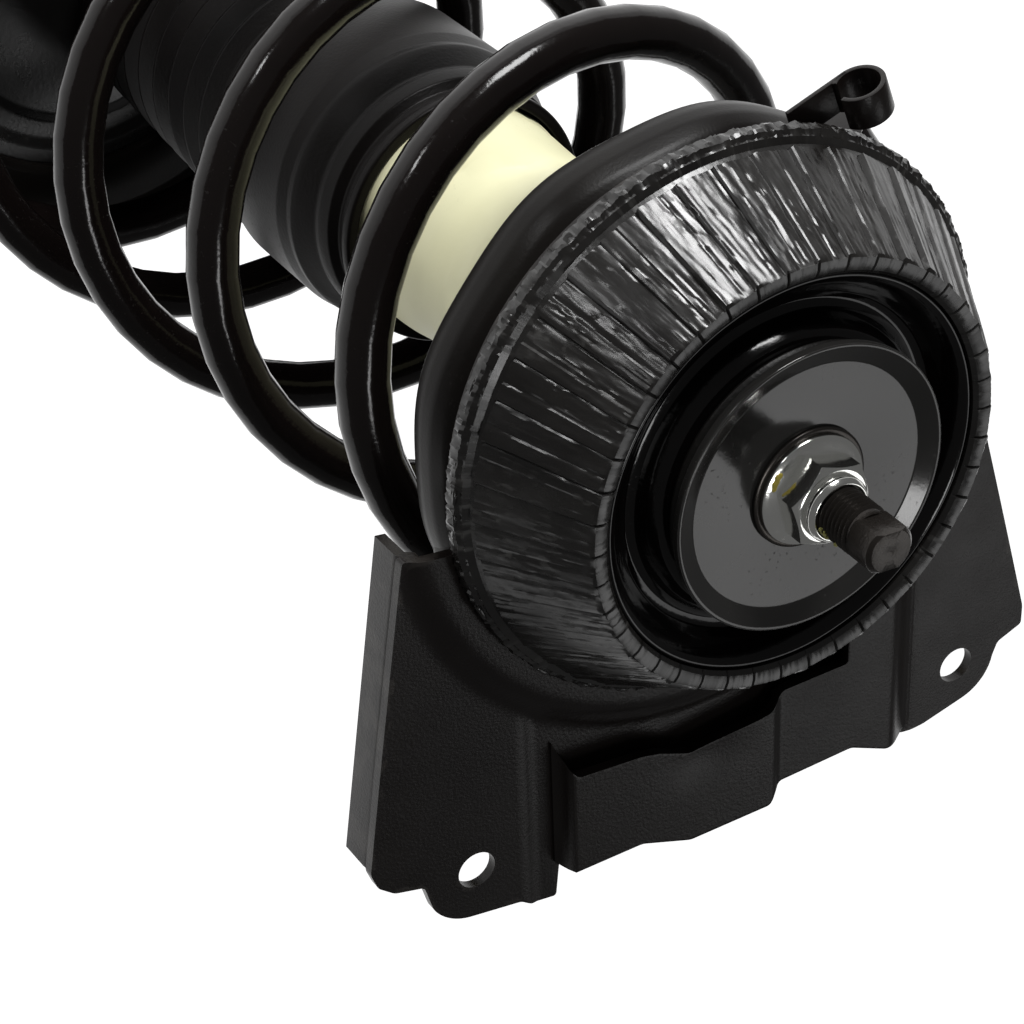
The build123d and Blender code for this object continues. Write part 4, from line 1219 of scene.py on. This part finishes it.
@dataclass
class CoilSet:
    """Coil spring with its upper and lower rubber isolators."""

    wire: float = 6.2
    coil: float = 64.0
    middle_x: float = -0.9
    middle_y: float = 4.8
    lean: float = 0.10
    start_angle: float = 398.0
    start_z: float = -60.0
    pitch: float = 60.5
    end_pitch: float = 13.2
    lead: float = 0.5
    active: float = 3.8
    foot: float = 0.9
    blend: float = 0.5
    points_per_turn: int = 40

    def build(self) -> None:
        """Make the spring and its isolators."""
        self.spring()
        self.upper_isolator()
        self.lower_isolator()

    def route(self) -> list[Vector]:
        """Work out the wire's centre line from its top end down.

        Returns:
            Places along the wire.
        """
        total = self.lead + self.active + self.foot
        count = int(total * self.points_per_turn)
        fine = 10
        places = []
        height = self.start_z
        slice_turn = total / count / fine
        for index in range(count + 1):
            turn = total * index / count
            angle = math.radians(self.start_angle) - FULL_TURN * turn
            centre = self.middle_x + self.lean * (height - self.start_z)
            places.append(Vector((centre + self.coil * math.cos(angle),
                                  self.middle_y + self.coil * math.sin(angle), height)))
            for part in range(fine):
                here = turn + (part + 0.5) * slice_turn
                rise = min(max((here - 0.25) / self.blend, 0.0), 1.0)
                fall = min(max((total - self.foot + 0.1 - here) / self.blend, 0.0), 1.0)
                share = min(rise, fall)
                share = share * share * (3 - 2 * share)
                height -= slice_turn * (self.end_pitch + (self.pitch - self.end_pitch) * share)
        return places

    def spring(self) -> bpy.types.Object:
        """Sweep the round wire along its route.

        Returns:
            The spring.
        """
        places = self.route()
        curve = bpy.data.curves.new("wire", "CURVE")
        curve.dimensions = "3D"
        curve.bevel_depth = self.wire * MM
        curve.bevel_resolution = 8
        curve.use_fill_caps = True
        curve.twist_mode = "MINIMUM"
        line = curve.splines.new("POLY")
        line.points.add(len(places) - 1)
        for point, place in zip(line.points, places):
            point.co = (*(place * MM), 1.0)
        wire = bpy.data.objects.new("wire", curve)
        bpy.context.scene.collection.objects.link(wire)
        bpy.context.view_layer.update()
        mesh = bpy.data.meshes.new_from_object(wire.evaluated_get(bpy.context.evaluated_depsgraph_get()))
        bpy.data.objects.remove(wire)
        shape = bmesh.new()
        shape.from_mesh(mesh)
        bpy.data.meshes.remove(mesh)
        bmesh.ops.remove_doubles(shape, verts=list(shape.verts), dist=1e-6)
        bmesh.ops.recalc_face_normals(shape, faces=list(shape.faces))
        bmesh.ops.scale(shape, vec=(1 / MM, 1 / MM, 1 / MM), verts=list(shape.verts))
        Maker.ease(shape, 1.2, 60.0, 3)
        piece = Maker.finish("coil_spring_wire", shape, SPRING_COAT, TOP_BODY, "spring_coat",
                             ("coil_spring",),
                             50.0)
        low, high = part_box("coil_spring")
        self.fold(piece, high[2], high[2] - low[2])
        return piece

    @staticmethod
    def fold(piece: bpy.types.Object, anchor_z: float, length: float) -> None:
        """Give a piece its own copy of its mesh.

        Args:
            piece: The piece.
            anchor_z: Not used.
            length: Not used.
        """
        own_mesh(piece)

    def upper_isolator(self) -> bpy.types.Object:
        """Make the upper isolator with its soft waist and coil stop.

        Returns:
            The isolator.
        """
        low, high = span("upper_isolator")
        top = high.z
        outer = 66.0
        profile = [(40.0, top), (58.5, top), (61.5, top - 1.2), (64.0, top - 4.0), (outer - 0.4, top - 7.5),
                   (outer, top - 11.0), (outer - 0.6, low.z + 1.2), (outer - 2.4, low.z), (40.0, low.z)]
        shape = Maker.lathe(profile, 0.8, 180, 3)
        for vert in shape.verts:
            radius = math.hypot(vert.co.x, vert.co.y)
            if radius > 55:
                turn = math.atan2(vert.co.y, vert.co.x)
                change = 0.55 * math.cos(9 * turn) * min((top - vert.co.z) / 6.0, 1.0) - 0.5
                vert.co.x *= (radius + change) / radius
                vert.co.y *= (radius + change) / radius
        nub = bmesh.new()
        turn = Matrix.Rotation(math.radians(202.0), 4, "Z")
        spot = turn @ Matrix.Translation((62.0, 0.0, top - 7.5)) @ Matrix.Diagonal((5.2, 8.0, 7.6, 1.0))
        bmesh.ops.create_uvsphere(nub, u_segments=32, v_segments=20, radius=1.0, matrix=spot)
        for vert in nub.verts:
            vert.co += vert.normal * 0.8 * wander(vert.co, 0.25, 2.0)
        shape = Maker.join(shape, nub)
        return Maker.finish("upper_isolator_moulding", shape, ISOLATOR_RUBBER, TOP_BODY, "isolator_rubber",
                            ("upper_isolator",), 60.0)

    def lower_isolator(self) -> bpy.types.Object:
        """Make the pad under the spring's foot."""
        low, high = span("lower_isolator")
        middle = (low + high) / 2
        outer = (high.x - low.x) / 2
        shape = Maker.lathe([(52.0, low.z), (outer - 0.2, low.z), (outer - 0.2, high.z + 1.0),
                             (outer - 2.2, high.z + 1.0), (outer - 4.0, high.z - 0.4), (54.0, high.z - 0.4),
                             (52.0, high.z - 1.4)], 0.5, 128, 3, (middle.x, middle.y))
        return Maker.finish("lower_isolator_pad", shape, ISOLATOR_RUBBER, TUBE_BODY, "isolator_rubber",
                            ("lower_isolator",))


@dataclass
class StopAndBoot:
    """Bump stop, its cup and the dust boot."""

    neck: float = 27.3
    bore: float = 11.8
    pleats: int = 10
    pleat_depth: float = 3.6
    wall: float = 1.8

    def build(self) -> None:
        """Make the bump stop and the boot."""
        self.cup()
        self.stop()
        self.collar()
        self.boot()

    def cup(self) -> bpy.types.Object:
        """Make the pressed cup that holds the bump stop."""
        low, high = span("stop_cup")
        top = high.z
        shape = Maker.lathe([(self.bore, -58.0), (31.0, -58.0), (31.0, top), (36.0, top), (36.0, top - 2.0),
                             (33.0, top - 2.0), (33.0, low.z), (31.0, low.z), (31.0, -60.0), (self.bore,
                                 -60.0)],
                            0.4, 128)
        return Maker.finish("stop_cup_pressing", shape, BRACKET_COAT, TOP_BODY, "bracket_coat", ("stop_cup",))

    def stop(self) -> bpy.types.Object:
        """Make the moulded bump stop: soft lobes and a waist.

        Returns:
            The bump stop.
        """
        low, high = span("bump_stop")
        top, base = high.z, low.z
        length = top - base
        profile = [(self.bore, base), (18.3, base), (22.0, base + 6.0), (24.6, base + 14.0),
                   (25.4, base + 24.0)]
        for share, radius in ((0.72, 28.9), (0.64, 29.8), (0.58, 29.2), (0.50, 28.2), (0.43, 27.8),
                              (0.36, 28.6),
                              (0.29, 30.2), (0.22, 29.6), (0.175, 26.6), (0.15, 26.4), (0.11, 27.6),
                              (0.05, 28.6)):
            profile.append((radius, top - share * length))
        profile += [(29.2, top), (self.bore, top)]
        shape = Maker.lathe(profile, 1.8, 144, 4)
        for vert in shape.verts:
            radius = math.hypot(vert.co.x, vert.co.y)
            if radius > 20:
                turn = math.atan2(vert.co.y, vert.co.x)
                fold = 1.0 - abs(math.sin(turn * 1.5 + vert.co.z * 0.075))
                change = 0.8 * wander(vert.co, 0.05, 7.0) - 1.1 * fold ** 3 - 0.3
                vert.co.x *= (radius + change) / radius
                vert.co.y *= (radius + change) / radius
        return Maker.finish("bump_stop_moulding", shape, STOP_FOAM, TOP_BODY, "stop_foam", ("bump_stop",),
                            60.0)

    def collar(self) -> bpy.types.Object:
        """Make the boot's stiff collar with its lip, groove and stepped body.

        Returns:
            The collar.
        """
        low, high = span("boot_collar")
        top, base, body = high.z, low.z, high.x
        hold = 30.0
        profile = [(hold, top), (32.6, top), (33.0, top - 0.8), (33.0, top - 2.8), (31.6, top - 3.6),
                   (31.4, top - 7.0), (33.6, top - 8.6), (34.2, top - 12.5), (34.0, top - 14.0),
                   (34.6, top - 15.2), (36.6, top - 19.5), (37.2, top - 21.0), (37.0, top - 23.0),
                   (body, top - 27.0), (body, base), (body - self.wall, base), (body - self.wall, top - 27.0),
                   (32.0, top - 18.0), (hold, top - 13.0)]
        shape = Maker.lathe(profile, 0.5, 144, 3)
        return Maker.finish("boot_collar_moulding", shape, BOOT_RUBBER, TOP_BODY, "boot_rubber",
                            ("boot_collar",), 45.0)

    def boot(self) -> bpy.types.Object:
        """Make the bellows down to the cuff on the damper tube.

        Returns:
            The bellows.
        """
        low, high = span("dust_boot")
        top, base = high.z, low.z
        outer, foot = high.x, 31.5
        cuff_top, cuff = base + 8.0, 25.9
        run = top - cuff_top
        outside = []
        inside = []
        for index in range(2 * self.pleats + 1):
            share = index / (2 * self.pleats)
            radius = outer + (foot - outer) * share - (self.pleat_depth if index % 2 else 0.0)
            height = top - share * run
            outside.append((radius, height))
            inside.append((max(radius - self.wall, cuff), height))
        profile = outside + [(cuff + self.wall, cuff_top - 1.0), (cuff + self.wall, base + 3.0),
                             (cuff + 2.8, base + 2.0), (cuff + 2.8, base), (cuff, base)]
        profile += list(reversed(inside))
        shape = Maker.lathe(profile, 0.75, 128, 3)
        piece = Maker.finish("dust_boot_bellows", shape, BOOT_RUBBER, TOP_BODY, "boot_rubber", ("dust_boot",),
                             60.0)
        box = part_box("dust_boot")
        CoilSet.fold(piece, box[1][2], box[1][2] - box[0][2])
        return piece


@dataclass
class DamperTube:
    """Damper tube, its cap, the spring pan and their welds."""

    radius: float = 25.5
    wall: float = 2.2

    def build(self) -> None:
        """Make the tube, cap, pan, gusset and welds."""
        self.tube()
        self.cap()
        self.pan()
        self.gusset()
        self.welds()

    def tube(self) -> bpy.types.Object:
        """Make the tube with its rolled lower edge.

        Returns:
            The tube.
        """
        low, high = span("outer_tube")
        inner = self.radius - self.wall
        shape = Maker.lathe([(inner, low.z), (self.radius - 1.6, low.z), (self.radius, low.z + 2.2),
                             (self.radius, high.z), (inner, high.z)], 0.5, 128, 4)
        return Maker.finish("damper_tube", shape, TUBE_COAT, TUBE_BODY, "tube_coat", ("outer_tube",))

    def cap(self) -> bpy.types.Object:
        """Make the pressed cap that the bump stop meets."""
        low, high = span("tube_cap")
        outer = high.x
        shape = Maker.lathe([(11.8, high.z - 3.0), (11.8, high.z - 0.4), (13.5, high.z),
                             (outer - 2.5, high.z),
                             (outer, high.z - 2.5), (outer, low.z), (self.radius, low.z),
                             (self.radius, high.z - 3.0)], 0.5, 128)
        return Maker.finish("damper_cap", shape, TUBE_COAT, TUBE_BODY, "tube_coat", ("tube_cap",))

    def pan(self) -> bpy.types.Object:
        """Make the spring pan with a rolled rim, offset from the tube that it is welded to.

        Returns:
            The pan.
        """
        low, high = span("lower_seat")
        pad = span("lower_isolator")[0].z
        floor = pad - 3.0
        middle_x = low.x + 74.0
        middle_y = (low.y + high.y) / 2
        dish = Maker.lathe([(0.0, floor), (68.0, floor), (72.5, floor + 1.8), (74.0, floor + 5.0),
                            (74.0, high.z - 1.5), (73.0, high.z), (71.4, high.z - 0.6), (71.0, high.z - 2.5),
                            (71.0, pad + 1.6), (70.0, pad), (48.0, pad), (45.0, pad - 1.2), (40.0, pad - 1.2),
                            (37.0, pad), (0.0, pad)], 0.6, 160, 3, (middle_x, middle_y))
        sleeve = Maker.lathe([(0.0, low.z), (self.radius + 3.0, low.z), (self.radius + 3.0, floor - 3.0),
                              (self.radius + 6.0, floor + 0.5), (0.0, floor + 0.5)], 0.8, 128)
        shape = Maker.carve(dish, sleeve, "UNION")
        shape = Maker.carve(shape, Maker.post(self.radius + 0.02, low.z - 5, high.z + 5, (0, 0), 128),
                            "DIFFERENCE")
        return Maker.finish("spring_pan", shape, TUBE_COAT, TUBE_BODY, "tube_coat", ("lower_seat",), 40.0)

    def gusset(self) -> bpy.types.Object:
        """Make the web under the pan's outboard side."""
        low, high = span("seat_gusset")
        outline = [(-self.radius - 3.0, low.z), (-self.radius - 3.0, high.z), (low.x, high.z),
                   (low.x, high.z - 4.0), (-self.radius - 11.0, low.z)]
        shape = Maker.prism(outline, -2.5, 2.5, 1.2)
        bmesh.ops.rotate(shape, cent=(0, 0, 0), matrix=Matrix.Rotation(math.radians(90.0), 3, "X"),
                         verts=list(shape.verts))
        Maker.ease(shape, 0.4, 40.0)
        return Maker.finish("pan_gusset", shape, TUBE_COAT, TUBE_BODY, "tube_coat", ("seat_gusset",))

    def welds(self) -> bpy.types.Object:
        """Lay the weld beads round the pan's sleeve and the gusset."""
        under = span("lower_seat")[0].z
        ring = self.radius + 1.4

        def around(share: float) -> Vector:
            """Follow the sleeve's lower edge."""
            turn = FULL_TURN * share
            return Vector((ring * math.cos(turn), ring * math.sin(turn), under - 0.6))

        def along(share: float) -> Vector:
            """Follow the gusset's upper edge."""
            edge = span("seat_gusset")
            return Vector((-self.radius - 5 + (edge[0].x + self.radius + 9) * share, -2.9, edge[1].z - 0.8))

        shape = weld_bead(around, FULL_TURN * ring, 4.2, 3, True)
        shape = Maker.join(shape, weld_bead(along, 48.0, 3.4, 4))
        return Maker.finish("pan_welds", shape, WELD_COAT, TUBE_BODY, "tube_coat", (), 60.0)


@dataclass
class LowerFittings:
    """Knuckle bracket and the two tabs on the tube."""

    radius: float = 25.5
    gap: float = 32.0
    ear: float = 4.5
    bolt: float = 7.05
    bolt_reach: float = 46.0
    bolt_pitch: float = 56.0

    def build(self) -> None:
        """Make the bracket, the tabs and their welds."""
        self.knuckle()
        self.tab("link_tab", "sway_link_tab", 5.1, 0.0, 34.0)
        self.tab("hose_tab", "hose_clip_tab", 4.3, -90.0, 22.0)
        self.welds()

    def knuckle(self) -> bpy.types.Object:
        """Make the clamp-shaped bracket with its two ears.

        Returns:
            The bracket.
        """
        low, high = span("knuckle_bracket")
        half = self.gap / 2
        outer = self.radius + 4.5
        wrap = Maker.post(outer, low.z, high.z, (0, 0), 96)
        for side in (-1, 1):
            near, far = side * half, side * (half + self.ear)
            trim = 7.0
            outline = [(low.x, low.z + trim), (low.x + trim, low.z), (0.0, low.z), (0.0, high.z),
                       (low.x + trim, high.z), (low.x, high.z - trim)]
            ear = Maker.prism(outline, -max(near, far), -min(near, far), 3.0)
            bmesh.ops.rotate(ear, cent=(0, 0, 0), matrix=Matrix.Rotation(math.radians(90.0), 3, "X"),
                             verts=list(ear.verts))
            wrap = Maker.carve(wrap, ear, "UNION")
        wrap = Maker.carve(wrap, Maker.post(self.radius + 0.02, low.z - 2, high.z + 2, (0, 0), 96),
                           "DIFFERENCE")
        throat = Maker.block(Vector((low.x - 5, -half, low.z - 2)), Vector((0.0, half, high.z + 2)))
        wrap = Maker.carve(wrap, throat, "DIFFERENCE")
        middle = (low.z + high.z) / 2
        for side in (-1, 1):
            drill = Maker.post(self.bolt, -60, 60, (0, 0), 48)
            bmesh.ops.rotate(drill, cent=(0, 0, 0), matrix=Matrix.Rotation(math.radians(90.0), 3, "X"),
                             verts=list(drill.verts))
            bmesh.ops.translate(drill, vec=(-self.bolt_reach, 0, middle + side * self.bolt_pitch / 2),
                                verts=list(drill.verts))
            wrap = Maker.carve(wrap, drill, "DIFFERENCE")
        shape = Maker.ease(wrap, 0.45, 50.0)
        return Maker.finish("knuckle_clamp", shape, TUBE_COAT, TUBE_BODY, "tube_coat", ("knuckle_bracket",),
                            30.0)

    def tab(self, node: str, name: str, bore: float, turn: float, width: float) -> bpy.types.Object:
        """Make one round-ended tab with its hole.

        Args:
            node: Frame node that it stands for.
            name: Piece name.
            bore: Hole radius.
            turn: Turn about the tube, in degrees, from +Y.
            width: Width of the tab.

        Returns:
            The tab.
        """
        low, high = span(node)
        reach = (high.y if turn == 0 else high.x) - width / 2
        bar = Maker.block(Vector((-width / 2, 10.0, low.z)), Vector((width / 2, reach, high.z)))
        shape = Maker.carve(bar, Maker.post(width / 2, low.z, high.z, (0, reach), 64), "UNION")
        shape = Maker.carve(shape, Maker.post(bore, low.z - 2, high.z + 2, (0, reach), 48), "DIFFERENCE")
        shape = Maker.carve(shape, Maker.post(self.radius + 0.02, low.z - 2, high.z + 2, (0, 0), 96),
                            "DIFFERENCE")
        bmesh.ops.rotate(shape, cent=(0, 0, 0), matrix=Matrix.Rotation(math.radians(turn), 3, "Z"),
                         verts=list(shape.verts))
        Maker.ease(shape, 0.4, 50.0)
        return Maker.finish(name, shape, TUBE_COAT, TUBE_BODY, "tube_coat", (node,), 30.0)

    def welds(self) -> bpy.types.Object:
        """Lay the beads along the knuckle bracket's top and the tabs."""
        top = span("knuckle_bracket")[1].z
        link = span("link_tab")
        hose = span("hose_tab")
        ring = self.radius + 1.6

        def bracket_top(share: float) -> Vector:
            """Follow the bracket's top edge round the tube's back."""
            turn = math.radians(-130.0 + 260.0 * share)
            return Vector((ring * math.cos(turn), ring * math.sin(turn), top + 0.8))

        def link_root(share: float) -> Vector:
            """Follow the link tab's upper root."""
            turn = math.radians(60.0 + 60.0 * share)
            return Vector(((self.radius + 0.8) * math.cos(turn), (self.radius + 0.8) * math.sin(turn),
                           link[1].z + 0.6))

        def hose_root(share: float) -> Vector:
            """Follow the hose tab's upper root."""
            turn = math.radians(-22.0 + 44.0 * share)
            return Vector(((self.radius + 0.6) * math.cos(turn), (self.radius + 0.6) * math.sin(turn),
                           hose[1].z + 0.4))

        shape = weld_bead(bracket_top, 120.0, 4.6, 6)
        shape = Maker.join(shape, weld_bead(link_root, 27.0, 3.6, 7))
        shape = Maker.join(shape, weld_bead(hose_root, 20.0, 2.6, 9))
        return Maker.finish("fitting_welds", shape, WELD_COAT, TUBE_BODY, "tube_coat", (), 60.0)


@dataclass
class InnerWorks:
    """Frame nodes that keep their own shape and only take a finish."""

    finishes: dict[str, Finish] = field(default_factory=lambda: {
        "inner_sleeve": SEAT_STEEL, "mount_bush": DARK_RUBBER, "cone_core": DARK_RUBBER,
        "rebound_stop": SEAT_STEEL, "piston_shims": SEAT_STEEL, "piston": SINTERED,
        "piston_ring": BAND_PLASTIC, "lower_shims": SEAT_STEEL, "piston_nut": ZINC, "rod_seal": DARK_RUBBER,
        "rod_guide": SINTERED, "guide_bush": BRONZE, "inner_tube": BARE_TUBE, "base_valve": SINTERED,
        "tube_plug": TUBE_COAT})

    def build(self) -> None:
        """Dress every inner node."""
        for node, finish in self.finishes.items():
            finish.dress_node(node)
            log.info("%s dressed as %s", node, finish.name)


@dataclass
class Studio:
    """Pale floor, soft lights and the camera."""

    camera_place: tuple[float, float, float] = (-0.31478, 0.35331, 0.41929)
    camera_aim: tuple[float, float, float] = (-0.05407, -0.00322, -0.03274)
    camera_roll: float = 131.934
    lens: float = 105.47
    floor_half: float = 4.0

    def build(self) -> None:
        """Set up the floor, the lights, the sky and the camera."""
        self.floor()
        self.sky()
        self.lamp("key", (0.30, 1.35, 0.20), (0.0, 0.0, -0.02), 0.42, 17.0)
        self.lamp("strip", (-0.75, 1.2, 0.12), (0.0, 0.0, -0.02), 0.16, 2.2)
        self.lamp("front", (1.0, -0.95, 1.25), (0.0, 0.0, -0.02), 0.7, 2.6)
        self.lamp("ceiling", (-0.2, -0.5, 2.2), (-0.1, 0.0, -0.35), 0.5, 8.0)
        self.camera()

    def floor(self) -> None:
        """Lay the pale floor under the strut."""
        level = CAD_BOX[0][2]
        shape = bmesh.new()
        bmesh.ops.create_grid(shape, x_segments=4, y_segments=4, size=self.floor_half)
        bmesh.ops.translate(shape, vec=(0, 0, level - 0.0005), verts=list(shape.verts))
        floor = Maker.as_object("floor", shape)
        FLOOR_PAPER.dress(floor)

    @staticmethod
    def sky() -> None:
        """Fill the room with even, pale light."""
        world = bpy.data.worlds.new("room")
        world.use_nodes = True
        back = world.node_tree.nodes["Background"]
        back.inputs["Color"].default_value = (1.0, 1.0, 1.0, 1.0)
        back.inputs["Strength"].default_value = 0.12
        bpy.context.scene.world = world
        bpy.context.scene.view_settings.view_transform = "Standard"

    @staticmethod
    def lamp(name: str, place: tuple[float, float, float], aim: tuple[float, float, float], size: float,
             power: float) -> None:
        """Hang one soft lamp.

        Args:
            name: Lamp name.
            place: Where it hangs.
            aim: Where it points.
            size: Edge of the lamp.
            power: Power in watts.
        """
        light = bpy.data.lights.new(name, "AREA")
        light.shape = "SQUARE"
        light.size = size
        light.energy = power
        lamp = bpy.data.objects.new(name, light)
        bpy.context.scene.collection.objects.link(lamp)
        lamp.location = place
        lamp.rotation_euler = (Vector(aim) - Vector(place)).to_track_quat("-Z", "Y").to_euler()

    def camera(self) -> None:
        """Place the camera, rolled so that the rod points to the picture's lower right."""
        data = bpy.data.cameras.new("camera")
        data.lens = self.lens
        data.sensor_width = 36.0
        data.clip_start = 0.01
        made = bpy.data.objects.new("camera", data)
        bpy.context.scene.collection.objects.link(made)
        look = (Vector(self.camera_aim) - Vector(self.camera_place)).to_track_quat("-Z", "Y")
        roll = Matrix.Rotation(math.radians(self.camera_roll), 4, "Z")
        made.matrix_world = Matrix.Translation(self.camera_place) @ look.to_matrix().to_4x4() @ roll
        bpy.context.scene.camera = made


def main() -> None:
    """Build the strut and its studio, and report each part."""
    logging.basicConfig(level=logging.INFO, format="%(name)s %(message)s")
    for part in (Studio(), TopFastening(), RubberMount(), UpperBracket(), CoilSet(), StopAndBoot(),
                 DamperTube(), LowerFittings(), InnerWorks()):
        part.build()
        log.info("%s built", type(part).__name__)


if __name__ == "__main__":
    main()
